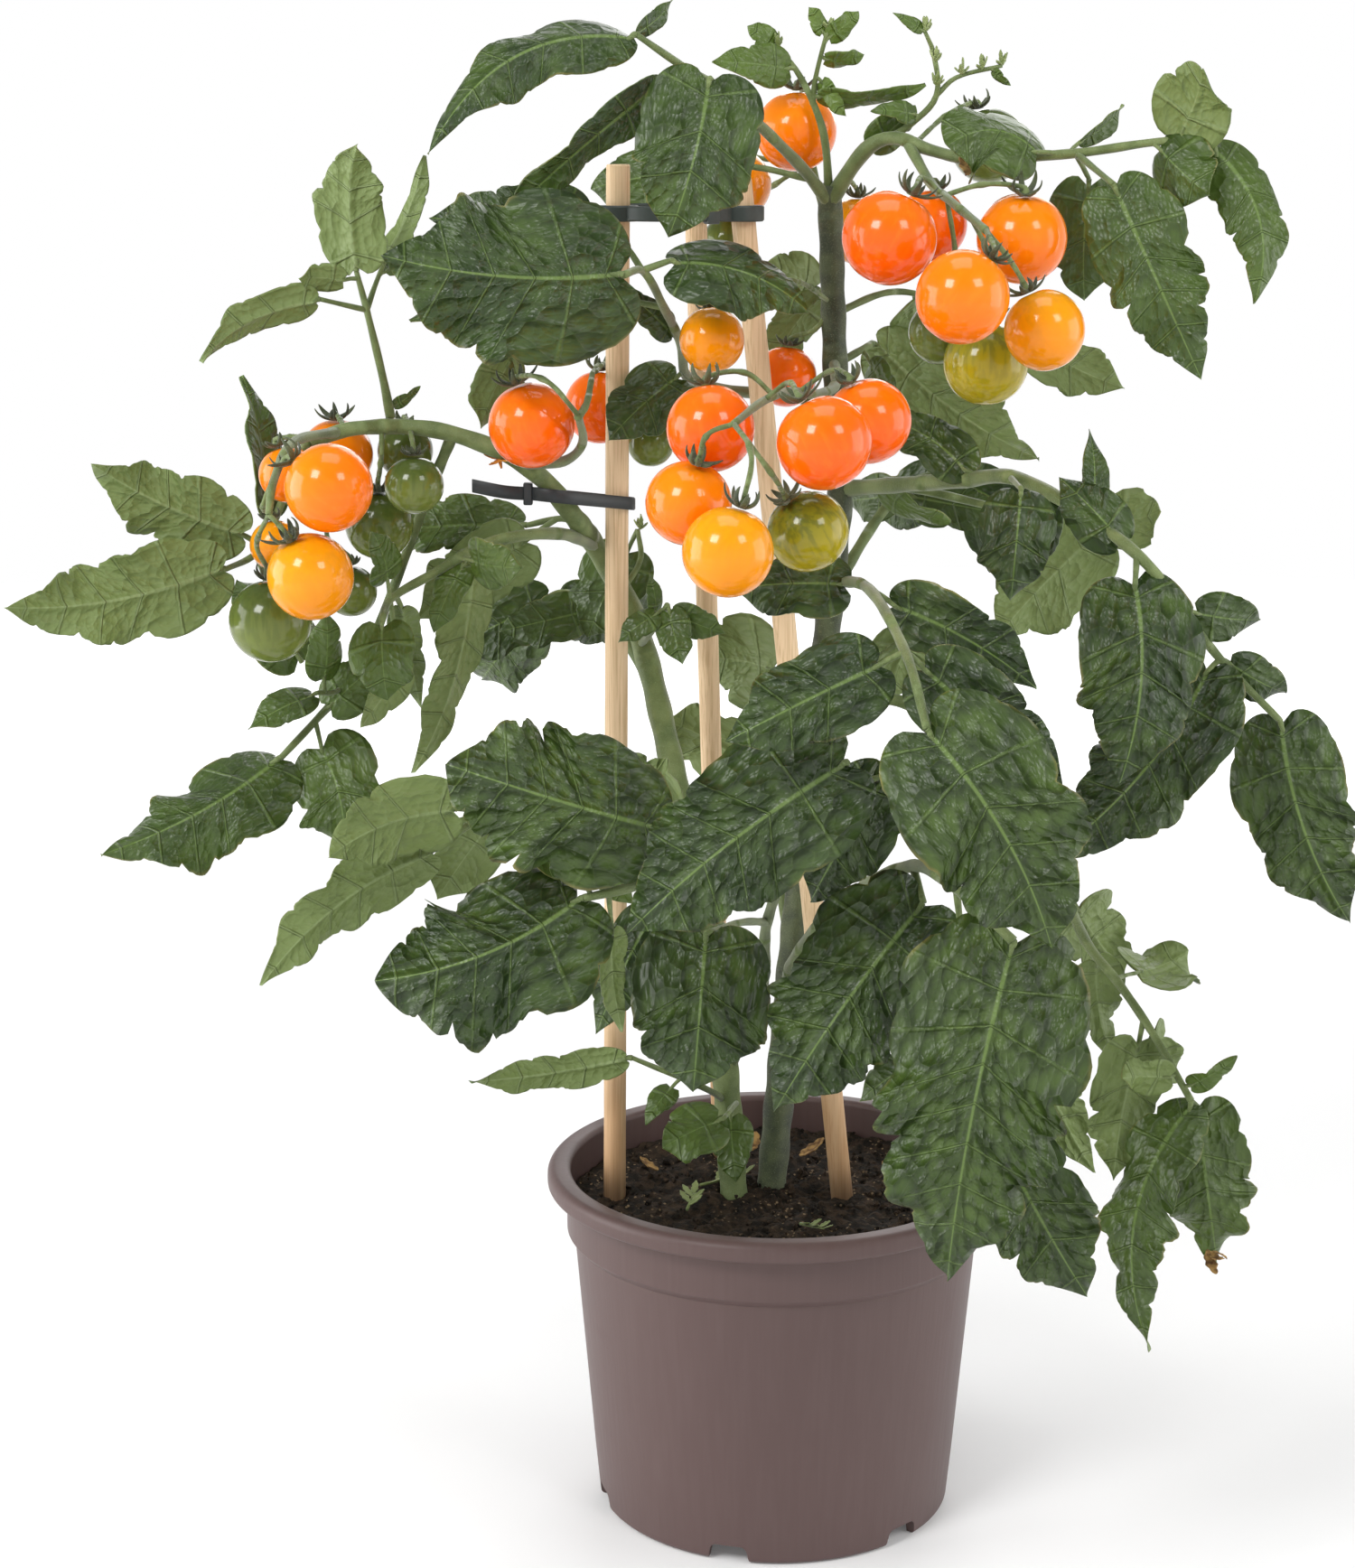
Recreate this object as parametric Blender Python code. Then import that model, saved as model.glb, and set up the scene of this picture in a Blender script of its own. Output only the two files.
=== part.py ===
"""Cherry tomato plant in a nursery pot, held up by three bamboo canes.

Run it with ``blender --background --python part.py`` or from Blender's text editor.

The plant is laid out by a growth plan: every stalk is a tube through a few points, every
leaflet is a thin arched blade that leaves its stalk at some share of its length, and every
tomato hangs from a pedicel that springs from the nearest part of its truss.  The plan is in
millimetres, +Z up, with the origin at the centre of the pot's base.  The meshes are made in
metres.
"""
from __future__ import annotations

import math
from dataclasses import dataclass, field

import bmesh
import bpy
import numpy as np
from mathutils import Matrix, Vector

MM = 0.001
GAP = 0.3  # clearance between neighbouring solids, in millimetres

Point = tuple[float, float, float]

# ------------------------------------------------------------------ driving sizes (millimetres)
LIGHT = (-36.0, -1054.0, 510.0)  # the window that the leaves turn their upper faces to

POT_HEIGHT = 130.0
POT_RIM_RADIUS = 85.0
POT_BASE_RADIUS = 66.0
POT_COLLAR_RADIUS = 77.8
POT_COLLAR_HEIGHT = 24.0  # from the rim down to the step
POT_STEP = 2.6
POT_STEP_SLOPE = 3.0  # height over which the wall swells to the collar
POT_LIP_HEIGHT = 7.5
POT_LIP_ROUND = 1.8  # how far the lip's corners are taken off
POT_FOOT_WIDTH = 4.0  # between the drainage channel and the outer wall
POT_FOOT_ROUND = 1.6
POT_WALL = 1.6
POT_SIDES = 28
POT_CHANNEL_DEPTH = 7.0  # raised drainage channel under the floor
POT_CHANNEL_RADII = (46.0, POT_BASE_RADIUS - POT_FOOT_WIDTH)
NOTCHES = 6
NOTCH_WIDTH = 18.0
NOTCH_TAPER = 0.72  # width of a notch's top as a share of its foot
NOTCH_REACH = 16.0
NOTCH_START_ANGLE = 254.0

SOIL_LEVEL = 117.0
SOIL_ROUGHNESS = 1.3
SOIL_RINGS = (56.0, 36.0, 17.0, 0.0)  # radii at which the soil's top rises and falls

CANE_RADIUS = 4.1
CANE_SIDES = 8
CANE_FOOT = 20.0  # height of the canes' lower ends in the soil

RING_CENTRE = (-36.0, 0.0, 478.5)
RING_RADIUS = 24.5
RING_BAND = 2.8
RING_HEIGHT = 5.0
RING_EYE_RADIUS = 7.4
RING_SIDES = 20
EYE_SIDES = 8

TIE_WIDTH = 4.6
TIE_THICKNESS = 1.3
TIE_HEIGHT = 378.5
TIE_STEM = (-78.5, -31.5)  # where the tied stem crosses the strap's plane
TIE_STEM_RADIUS = 8.6
TIE_SLOPE = 0.16
TIE_SIDES = 6  # of each half turn
TIE_BUCKLE_AT = 9  # the point of the loop where the buckle sits
TIE_BUCKLE = (3.2, 4.0, 7.6)
TIE_TAIL = ((-8.0, -3.0, 1.0), (-19.0, -2.0, 3.0))  # steps from the buckle

BLADE_THICKNESS = 1.3  # along the midrib
BLADE_RISE = 0.42  # how soon a blade widens from its base
BLADE_CURL = -0.15  # how its edges turn down
TOOTH_DEPTH = 0.12
TEETH_PER_SIDE = (2, 3)  # on a leaflet shorter and longer than LARGE_LEAFLET
LARGE_LEAFLET = 55.0
BASAL_LOBE = 0.04  # station of the heart-shaped base, as a share of the length
LOBE_LEAN = (-62.0, 100.0, 0.28, 8.0)  # how the side veins turn from the base to the tip, degrees
TOOTH_SPREAD = 0.85  # teeth crowd a little towards the tip
TOOTH_POWER = 0.7
TOOTH_LEVEL = 0.62
SMALL_LEAFLET = 31.0  # shorter leaflets have plain edges
TINY_LEAFLET = 18.0
STEM_SIDES = 6
STALK_SIDES = 4
THIN_SIDES = 3
THIN_STALK = 1.25
PETIOLULE_RADIUS = 0.9
PETIOLULE_LEAST = 1.5

TOMATO_SIDES = 8
TOMATO_BANDS = 5
CALYX_SEPALS = 5
CALYX_SEED = (0.31, 0.17, 0.93)  # sets where a calyx's first sepal points
CALYX_LIFT = 0.35
HUB_HEIGHT = 2.2
PEDICEL_RADIUS = 0.9
SEPAL_LENGTH = 8.5
SEPAL_WAIST = 2.3
SEPAL_LIFT = 0.63  # of the hollows between the sepals
SEPAL_CURL = 3.5  # mean rise of the sepals' tips


@dataclass(frozen=True)
class Cane:
    """A straight bamboo cane through two points of its axis, cut off at a height."""

    low: Point
    high: Point
    top: float
    radius: float = CANE_RADIUS
    bevel: float = 0.0  # slant of the cut across the cane

    def at(self, z: float) -> np.ndarray:
        """Point of the cane's axis at a height."""
        low, high = np.array(self.low), np.array(self.high)
        return low + (high - low) * (z - low[2]) / (high[2] - low[2])


CANES = {
    "cane_left": Cane((-60, -2, 117), (-57, -12, 478), 495.0),
    "cane_right": Cane((25, -2, 117), (-14, -12, 478), 488.5, bevel=2.5),
    "cane_back": Cane((-19, 45, 117), (-30, 24, 478), 484.0, 3.9),
}


@dataclass(frozen=True)
class Leaflet:
    """A thin leaf blade with a heart-shaped base and scalloped edges.

    at is the share of its stalk's length where it leaves.  heading is the way it points seen
    from the window, in degrees clockwise from straight up, and lean how far it points towards
    the window.  roll turns the face about the midrib from facing the window.  stem is the length
    of its own short stalk.  arch and swing bow the midrib out of and along the blade, and fold
    lifts the halves, all as shares.  fall sets how soon the blade narrows.
    """

    at: float
    heading: float
    lean: float
    length: float
    width: float
    roll: float = 0.0
    stem: float = 3.0
    arch: float = 0.08
    swing: float = 0.0
    fold: float = 0.1
    fall: float = 0.8


@dataclass(frozen=True)
class Stalk:
    """A tapered green stalk through a few points, with the leaflets and fruit that it carries."""

    path: list[Point]
    thick: float
    thin: float
    leaflets: list[Leaflet] = field(default_factory=list)
    fruit: list[str] = field(default_factory=list)


@dataclass(frozen=True)
class Tomato:
    """A cherry tomato: centre, radius, how ripe it is, where its calyx faces, its pedicel's way."""

    centre: Point
    radius: float
    ripeness: str
    up: Point = (0.0, 0.0, 1.0)
    via: list[Point] = field(default_factory=list)


RIPENESS_COLOURS = {
    "red": (0.85, 0.13, 0.02),
    "orange": (0.90, 0.25, 0.02),
    "amber": (0.88, 0.38, 0.03),
    "turning": (0.42, 0.42, 0.05),
    "green": (0.12, 0.20, 0.04),
}

# ------------------------------------------------------------------------------ the growth plan
def unit(vector: np.ndarray) -> np.ndarray:
    """The vector at length one."""
    return vector / np.linalg.norm(vector)


# Places are in millimetres.  A leaflet is given as it grows: the share of its stalk's length where
# it leaves, the way it points (degrees clockwise from straight up, seen from the window, then
# degrees that it leans towards the window), its length and its width.
STEM_LEFT = Stalk(
    [(-15, 4, 108), (-20, 0, 178), (-27, -4, 231), (-38, -8, 282), (-52, 8, 334), (-66, 3, 361),
     (-73, -26, 376), (-83, -36, 390), (-97, -41, 400), (-120, -47, 408), (-145, -55, 409),
     (-159, -60, 405)], 5.2, 2.2,
    fruit=["tomato_e4", "tomato_e7", "tomato_e8", "tomato_e9", "tomato_e10"])
STEM_RIGHT = Stalk(
    [(-2, 10, 108), (5, 15, 190), (10, 15, 243), (15, 10, 295), (20, 5, 362), (21, 0, 382),
     (19, 6, 427), (16, -5, 488)], 5.6, 4.2)
MAIN_STEMS = (STEM_LEFT, STEM_RIGHT)

TOMATOES = {
    "tomato_a1": Tomato((5, 12, 506), 14.2, "orange", via=[(8, 34, 520)]),
    "tomato_a2": Tomato((-15, 42, 487), 12.4, "amber", (-0.2, 0.3, 1), [(-3, 54, 496)]),
    "tomato_a3": Tomato((-18, 54, 466), 9.6, "green", (0, 0.2, 1), [(-8, 66, 482)]),
    "tomato_b1": Tomato((33, -62, 472), 15.7, "red", (0.5, 0, 1), [(45, -50, 491)]),
    "tomato_b2": Tomato((50, -22, 475), 12.3, "red", (0.1, -0.2, 1)),
    "tomato_b3": Tomato((79, -40, 471), 15.2, "orange", (0, -0.3, 1), [(65, -48, 489)]),
    "tomato_b4": Tomato((54, -98, 455), 14.9, "orange", (0.6, 0.1, 0.8)),
    "tomato_b5": Tomato((83, -76, 443), 13.2, "amber", (-0.4, 0.1, 0.9), [(71, -74, 466)]),
    "tomato_b6": Tomato((67, -48, 430), 14.3, "turning", (0, 0.1, 1), [(69, -58, 460)]),
    "tomato_b7": Tomato((53, -30, 439), 10.8, "green", (0, -0.2, 1), [(56, -48, 464)]),
    "tomato_b8": Tomato((28, 32, 471), 11.7, "amber", via=[(22, 18, 488)]),
    "tomato_b9": Tomato((74, 25, 501), 13.5, "green", (-0.3, 0, 1), [(56, 2, 511)]),
    "tomato_c1": Tomato((-26, -105, 414), 14.1, "red", (-0.1, 0.3, 1), [(-15, -97, 431)]),
    "tomato_c2": Tomato((-33, -120, 392), 13.7, "orange", (0.2, -0.3, 0.9), [(-27, -132, 415)]),
    "tomato_c3": Tomato((-21, -144, 380), 14.2, "amber", (0.3, 0, 1), [(-14, -147, 410)]),
    "tomato_c4": Tomato((9, -130, 412), 14.9, "red", (-0.5, 0.1, 0.9), [(-2, -112, 429)]),
    "tomato_c5": Tomato((25, -92, 415), 14.0, "red", (-0.4, -0.1, 0.9), [(13, -80, 430)]),
    "tomato_c6": Tomato((5, -112, 382), 13.2, "turning", (-0.5, -0.3, 0.8), [(-8, -136, 404)]),
    "tomato_c7": Tomato((-25, -50, 438), 10.9, "amber", (0, 0.5, 0.9), [(2, -20, 456)]),
    "tomato_c8": Tomato((2, 8, 421), 10.9, "red", (0.1, 0, 1), [(12, 3, 438)]),
    "tomato_c9": Tomato((-46, 0, 398), 8.3, "green", (0.1, 0.2, 1), [(-57, 18, 423)]),
    "tomato_d1": Tomato((-85, -64, 411), 14.4, "red", (-0.3, -0.1, 0.9), [(-79, -82, 427)]),
    "tomato_d2": Tomato((-64, 10, 410), 12.9, "red"),
    "tomato_e1": Tomato((-148, -105, 395), 14.2, "orange", (-0.8, 0.2, 0.6)),
    "tomato_e2": Tomato((-155, -102, 366), 14.0, "amber", (-0.4, -0.3, 0.9)),
    "tomato_e3": Tomato((-172, -75, 347), 13.9, "green", via=[(-174, -88, 374)]),
    "tomato_e4": Tomato((-153, -36, 398), 12.4, "orange", (0, -0.2, 1)),
    "tomato_e5": Tomato((-166, -67, 395), 9.6, "orange", (-0.3, 0, 0.9)),
    "tomato_e6": Tomato((-172, -58, 370), 8.6, "amber", (-0.1, 0, 1), [(-172, -84, 387)]),
    "tomato_e7": Tomato((-130, -32, 399), 9.6, "green", (0, -0.2, 1)),
    "tomato_e8": Tomato((-125, -56, 390), 10.0, "green"),
    "tomato_e9": Tomato((-139, -36, 374), 11.8, "green", (0, -0.2, 1), [(-136, -54, 400)]),
    "tomato_e10": Tomato((-150, -30, 350), 9.1, "green", via=[(-150, -58, 388), (-156, -46, 372)]),
}


# share of the stalk, turn to either side in degrees, and share of the longest leaflet's length
RULED_LEAFLETS = ((1.0, 0, 1.0), (0.78, 62, 0.8), (0.78, -58, 0.75), (0.5, 70, 0.6), (0.5, -68, 0.65))
RULED_WIDTH = 0.66  # of a leaflet, as a share of its length
RULED_DROOP = 0.25


def grown_by_rule(path: list[Point], longest: float) -> Stalk:
    """A whole compound leaf: an end leaflet and two pairs that shorten towards the stem."""
    points = [np.array(point, float) for point in path]
    leaflets = []
    for at, turn, share in RULED_LEAFLETS:
        along = unit(points[-1] - points[-2]) if at > 0.6 else unit(points[-1] - points[0])
        up = unit(np.array((0.0, 0.0, 1.0)) - along * along[2])
        turned_by = math.radians(turn)
        way = along * math.cos(turned_by) + np.cross(up, along) * math.sin(turned_by)
        way = unit(way - up * RULED_DROOP)
        heading, lean = math.degrees(math.atan2(way[0], way[2])), -math.degrees(math.asin(way[1]))
        length = longest * share
        leaflets.append(Leaflet(at, heading, lean, length, length * RULED_WIDTH, stem=5))
    return Stalk(path, 2.2, 1.2, leaflets)


PLAN = {
    "stem_left": [
        STEM_LEFT,
        # the truss over the tie
        Stalk([(-90, -38, 395), (-75, -56, 398), (-68, -67, 405), (-69, -80, 416)], 1.9, 1.3,
              fruit=["tomato_d1"]),
        Stalk([(-69, -79, 415), (-67, -50, 417), (-66, -12, 424)], 1.4, 1.0,
              fruit=["tomato_d2", "tomato_c9"]),
        # the truss at the stem's end
        Stalk([(-150, -57, 408), (-162, -82, 407), (-166, -104, 396), (-167, -108, 387)], 1.8, 1.2,
              fruit=["tomato_e1", "tomato_e2", "tomato_e3", "tomato_e5", "tomato_e6"]),
        # side shoots between the canes
        Stalk([(-68, -18, 372), (-77, -12, 373), (-90, 0, 369)], 1.4, 1.0, [
            Leaflet(0.5, 235, 0, 47, 31, roll=165, stem=14),
            Leaflet(1.0, 265, -10, 62, 24, roll=20, fold=0.2)]),
        Stalk([(-57, 6, 344), (-50, 18, 354), (-51, 25, 364)], 1.2, 0.9, [
            Leaflet(1.0, 205, 0, 34, 30, roll=15, stem=10)]),
        Stalk([(-86, -37, 392), (-87, -10, 406), (-94, -4, 430)], 1.3, 0.9, [
            Leaflet(1.0, 205, 10, 26, 20, roll=150)]),
        Stalk([(-50, 5, 325), (-46, -10, 332), (-40, -22, 344)], 1.4, 1.0, [
            Leaflet(0.95, 235, 15, 17, 11, roll=25, stem=4),
            Leaflet(1.0, 165, 20, 19, 14, roll=10),
            Leaflet(0.9, 110, 5, 19, 13, roll=20, stem=4),
            Leaflet(0.7, 350, 10, 15, 7, roll=30)]),
        # low leaves over the soil
        Stalk([(-18, 2, 149), (-15, -18, 159), (-20, -38, 160)], 1.2, 0.8, [
            Leaflet(1.0, 250, 20, 22, 24, roll=20),
            Leaflet(0.75, 175, 25, 23, 17, roll=10)]),
        Stalk([(-18, 2, 153), (-27, -12, 163), (-53, -20, 177)], 1.4, 0.9, [
            Leaflet(1.0, 265, 10, 57, 17, roll=155, swing=-0.06),
            Leaflet(0.6, 220, 30, 17, 11, roll=30, stem=5)]),
    ],
    "stem_right": [
        STEM_RIGHT,
        # the top truss behind the ring
        Stalk([(16, -3, 472), (14, 37, 486), (10, 47, 505)], 1.6, 1.1,
              fruit=["tomato_a1", "tomato_a2", "tomato_a3", "tomato_b8"]),
        # the middle truss, which comes forwards
        Stalk([(19, 6, 426), (17, -34, 421), (9, -62, 421), (-1, -86, 424), (-10, -112, 423),
               (-19, -130, 418)], 2.0, 1.2, fruit=[f"tomato_c{number}" for number in range(1, 7)]),
        # leaves behind the right hand stem
        Stalk([(21, 2, 383), (46, 30, 379), (80, 35, 371), (117, 30, 362)], 2.0, 1.2, [
            Leaflet(1.0, 225, 10, 49, 41, roll=165),
            Leaflet(0.95, 75, 15, 18, 26, roll=150, stem=12),
            Leaflet(0.18, 115, 10, 27, 15, roll=50, stem=4)]),
        Stalk([(19, 5, 425), (35, 45, 430)], 1.6, 1.2, [
            Leaflet(1.0, 125, 10, 72, 38, roll=150),
            Leaflet(0.7, 145, 45, 34, 14, roll=30, stem=8)]),
        Stalk([(17, 3, 443), (47, 35, 449), (90, 50, 431)], 1.4, 0.9, [
            Leaflet(0.5, 165, -55, 30, 23, roll=150),
            Leaflet(1.0, 115, 10, 39, 25, roll=160)]),
        Stalk([(16, 7, 315), (11, 38, 312), (2, 58, 306)], 1.6, 1.1, [
            Leaflet(1.0, 275, -30, 30, 42, roll=150)]),
        Stalk([(15, 12, 284), (4, 38, 272), (-9, 55, 269)], 1.4, 1.0, [
            Leaflet(1.0, 300, -5, 34, 34, roll=150)]),
        Stalk([(15, 9, 306), (34, 30, 313), (52, 40, 325)], 1.3, 0.9, [
            Leaflet(1.0, 200, 0, 26, 30, roll=150)]),
        Stalk([(18, 3, 447), (15, 28, 450)], 1.2, 0.9, [
            Leaflet(0.9, 215, -10, 29, 22, roll=150),
            Leaflet(1.0, 295, -30, 22, 22, roll=150)], fruit=["tomato_c7", "tomato_c8"]),
        # shoots above the ring
        Stalk([(16, -5, 484), (14, -6, 504), (10, -3, 516), (4, -1, 527), (-2, 2, 534)], 1.6, 0.8, [
            Leaflet(0.82, 275, 25, 29, 16, roll=15),
            Leaflet(1.0, 305, 10, 11, 10, roll=20, stem=2)]),
        Stalk([(10, -3, 515), (11, -2, 524), (15, -1, 540)], 1.1, 0.7, [
            Leaflet(0.85, 50, -10, 14, 9, roll=20, stem=2),
            Leaflet(0.9, 330, 10, 10, 7, roll=20, stem=2),
            Leaflet(0.6, 85, -10, 14, 9, roll=40, stem=2),
            Leaflet(0.4, 145, 15, 15, 8, roll=20, stem=3),
            Leaflet(0.1, 85, 5, 37, 11, roll=50, stem=2)]),
    ],
    "frond_crown_left": [
        Stalk([(16, -5, 482), (5, -15, 495), (-22, -45, 519), (-35, -52, 527), (-50, -56, 537)], 2.4, 1.0, [
            Leaflet(1.0, 240, 20, 79, 25, roll=30, stem=2, arch=0.12, fold=-0.35, swing=-0.12),
            Leaflet(1.0, 45, -45, 22, 8, roll=40, stem=1),
            Leaflet(0.82, 230, 0, 72, 18, roll=-35, stem=9, arch=0.1, fold=0.3, swing=-0.09)]),
        Stalk([(-22, -45, 519), (-26, -62, 523)], 1.2, 1.0, [
            Leaflet(1.0, 195, 15, 52, 46, stem=2, swing=0.03)]),
        Stalk([(9, -11, 490), (-12, 5, 494), (-38, 30, 491)], 1.2, 0.9, [
            Leaflet(1.0, 260, -10, 28, 24, roll=20)]),
    ],
    "frond_upper_left": [
        Stalk([(19, 6, 410), (8, 24, 412), (-20, 14, 416), (-33, -8, 422), (-35, -25, 434), (-41, -55, 449),
               (-48, -72, 462), (-54, -81, 461)], 2.3, 1.2, [
            Leaflet(0.5, 230, 25, 34, 28, roll=15, stem=5, arch=0.1),
            Leaflet(0.62, 315, 40, 33, 12, roll=10, stem=5),
            Leaflet(1.0, 275, 10, 76, 63, roll=5, stem=2, arch=0.06, fold=-0.12, swing=0.05)]),
        Stalk([(-48, -72, 462), (-54, -62, 470), (-65, -48, 478)], 1.1, 0.9, [
            Leaflet(1.0, 270, -15, 53, 28, roll=-15, arch=0.12, fold=-0.1)]),
        Stalk([(-41, -55, 449), (-58, -46, 452), (-68, -48, 455)], 1.1, 0.9, [
            Leaflet(1.0, 260, 5, 56, 24, roll=30, arch=0.05)]),
        Stalk([(-48, -72, 462), (-39, -68, 465)], 1.2, 1.0, [
            Leaflet(1.0, 110, 0, 47, 33, roll=-40, stem=2, arch=0.1, fold=-0.2, swing=0.05)]),
    ],
    "frond_far_left_up": [
        Stalk([(-133, -50, 412), (-135, -52, 425), (-140, -52, 448), (-143, -54, 461)], 1.7, 0.9, [
            Leaflet(1.0, 5, 25, 44, 27, roll=165, stem=2, fold=0.25, swing=-0.08),
            Leaflet(0.93, 275, 30, 16, 12, roll=150, stem=6),
            Leaflet(0.06, 55, -25, 12, 5, roll=30, stem=2)]),
        Stalk([(-140, -52, 448), (-138, -46, 455), (-135, -42, 463)], 1.0, 0.8, [
            Leaflet(1.0, 20, -20, 38, 12, roll=140, stem=2, fold=0.4),
            Leaflet(0.7, 50, -40, 17, 9, roll=150, stem=4)]),
        Stalk([(-140, -52, 448), (-155, -58, 452)], 1.0, 0.8, [
            Leaflet(1.0, 245, 25, 45, 17, roll=140, stem=2, arch=0.05, fold=0.35, swing=0.06)]),
    ],
    "frond_far_left": [
        Stalk([(-160, -60, 405), (-169, -45, 388), (-178, -40, 369), (-182, -42, 364), (-190, -52, 361)],
              1.6, 1.0, [
            Leaflet(1.0, 265, 35, 79, 35, roll=180, stem=2, arch=0.05, swing=-0.05),
            Leaflet(0.72, 300, 20, 57, 30, roll=170, stem=9, arch=0.05, swing=-0.05),
            Leaflet(0.6, 350, -10, 47, 22, roll=55, stem=5, arch=0.04, fold=0.3)]),
        Stalk([(-181, -42, 365), (-180, -30, 355), (-177, -24, 338), (-169, -20, 323)], 1.0, 0.8, [
            Leaflet(1.0, 320, -20, 38, 29, roll=20, stem=2, fold=-0.1)]),
    ],
    "frond_left_low": [
        Stalk([(-113, -45, 405), (-126, -12, 377), (-139, -5, 344), (-150, -20, 319), (-163, -35, 305),
               (-174, -45, 294)], 2.0, 1.2, [
            Leaflet(1.0, 245, 30, 70, 39, roll=30, stem=2, arch=0.04, fold=-0.25, swing=0.07),
            Leaflet(0.88, 165, 25, 37, 35, roll=10, stem=11, fold=0.05, swing=0.08),
            Leaflet(0.86, 50, -10, 23, 20, roll=-20, stem=5)]),
        Stalk([(-150, -20, 319), (-156, -34, 315), (-161, -40, 316)], 1.0, 0.8, [
            Leaflet(1.0, 245, 25, 25, 15, roll=35, fold=0.2),
            Leaflet(0.9, 5, 10, 25, 15, roll=20, stem=5, fold=-0.2)]),
    ],
    "frond_left_mid": [
        Stalk([(-66, 1, 362), (-80, -36, 371), (-101, -45, 369), (-120, -50, 359), (-134, -55, 351),
               (-136, -66, 345)], 2.4, 1.1, [
            Leaflet(1.0, 175, 20, 25, 25, roll=10, stem=2, arch=0.12),
            Leaflet(0.88, 350, 35, 22, 15, roll=30, stem=9),
            Leaflet(0.86, 175, -35, 50, 14, roll=165, stem=6, arch=0.05),
            Leaflet(0.65, 90, 45, 24, 20, roll=20, stem=7),
            Leaflet(0.62, 205, 20, 25, 14, roll=20, stem=5)]),
        Stalk([(-134, -55, 351), (-133, -47, 338), (-129, -40, 326)], 0.9, 0.7, [
            Leaflet(1.0, 220, 25, 26, 14, roll=165, stem=3, arch=0.05)]),
        Stalk([(-101, -45, 369), (-107, -32, 365)], 0.9, 0.7, [
            Leaflet(1.0, 195, 15, 78, 22, roll=150, stem=2, arch=0.05, fold=0.35, swing=-0.1)]),
    ],
    "frond_low_left": [
        Stalk([(-28, -6, 229), (-32, -60, 251), (-38, -100, 266), (-54, -118, 266), (-67, -122, 264)],
              2.6, 1.4, [
            Leaflet(1.0, 250, 10, 70, 59, roll=15, stem=2, arch=0.1, fold=-0.2, swing=0.1, fall=0.6),
            Leaflet(0.97, 320, -40, 30, 25, roll=15, stem=13),
            Leaflet(0.94, 175, -10, 38, 13, roll=150, stem=13)]),
        Stalk([(-38, -100, 266), (-38, -110, 276), (-42, -118, 286)], 1.6, 1.3, [
            Leaflet(1.0, 290, 10, 72, 57, roll=5, stem=2, fold=-0.1, swing=0.02, fall=0.6),
            Leaflet(0.3, 330, -15, 33, 36, roll=150, stem=9, arch=0.05)]),
    ],
    "frond_left_pale": [
        Stalk([(-25, -3, 213), (-42, -20, 243), (-68, -45, 273), (-95, -62, 281), (-119, -72, 268)],
              2.4, 1.2, [
            Leaflet(1.0, 235, 25, 73, 28, roll=150, stem=2, arch=0.05, fold=0.2, swing=0.06),
            Leaflet(0.82, 215, 0, 30, 25, roll=170, stem=9),
            Leaflet(0.74, 170, -15, 30, 15, roll=150, stem=8),
            Leaflet(0.62, 145, 15, 33, 19, roll=20, stem=5)]),
        Stalk([(-100, -64, 279), (-111, -76, 283)], 1.0, 0.8, [
            Leaflet(1.0, 255, 30, 47, 31, roll=165, stem=2, swing=0.06)]),
    ],
    "frond_centre_low": [
        Stalk([(-18, 1, 165), (-6, -12, 199), (-5, -45, 235), (6, -118, 291), (16, -150, 315)], 2.4, 1.4, [
            Leaflet(1.0, 230, -5, 88, 54, stem=2, arch=0.07, swing=-0.03)]),
        Stalk([(-5, -45, 235), (-15, -75, 243), (-27, -100, 246)], 1.5, 1.1, [
            Leaflet(1.0, 185, 20, 51, 53, stem=2, fold=-0.05)]),
        Stalk([(-6, -20, 206), (-20, -24, 228), (-44, -50, 242)], 1.2, 1.0, [
            Leaflet(1.0, 205, 5, 48, 24, roll=15, stem=2)]),
        Stalk([(6, -118, 291), (18, -127, 302), (30, -128, 306)], 1.3, 1.0, [
            Leaflet(1.0, 205, -25, 56, 33, roll=10, stem=2)]),
    ],
    "frond_centre": [
        Stalk([(20, 5, 362), (17, -60, 359), (25, -120, 364), (34, -155, 349), (39, -172, 330)], 2.2, 1.4, [
            Leaflet(1.0, 150, 10, 76, 59, stem=2, swing=0.06),
            Leaflet(0.85, 245, 10, 52, 34, roll=5, stem=10),
            Leaflet(0.85, 130, 0, 56, 34, roll=10, stem=9, arch=0.06, swing=0.0),
            Leaflet(0.64, 120, 5, 52, 28, roll=25, stem=10, arch=0.06, swing=0.08),
            Leaflet(0.48, 265, -15, 37, 26, roll=20, fold=-0.1)]),
    ],
    "frond_low_right": [
        Stalk([(5, 14, 188), (5, -20, 212), (20, -62, 246), (40, -115, 273), (52, -140, 272),
               (69, -152, 258)], 2.8, 1.7, [
            Leaflet(1.0, 190, 5, 113, 70, stem=2, arch=0.06, fold=0.04, swing=-0.02)]),
        Stalk([(40, -115, 273), (43, -124, 263)], 1.4, 1.2, [
            Leaflet(1.0, 215, 5, 82, 53, stem=2, fold=0.06, swing=-0.02)]),
        Stalk([(69, -152, 258), (70, -138, 221), (70, -128, 181)], 1.4, 1.0, [
            Leaflet(1.0, 150, 10, 55, 41, roll=10, stem=2, arch=0.06)]),
        Stalk([(52, -140, 272), (57, -116, 239), (57, -104, 211)], 1.2, 0.9, [
            Leaflet(1.0, 235, -5, 38, 18, roll=20)]),
        Stalk([(69, -148, 248), (75, -126, 226), (79, -118, 215)], 1.0, 0.8, [
            Leaflet(1.0, 155, -5, 51, 24, roll=160, stem=2, arch=0.06)]),
    ],
    "frond_right": [
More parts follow.
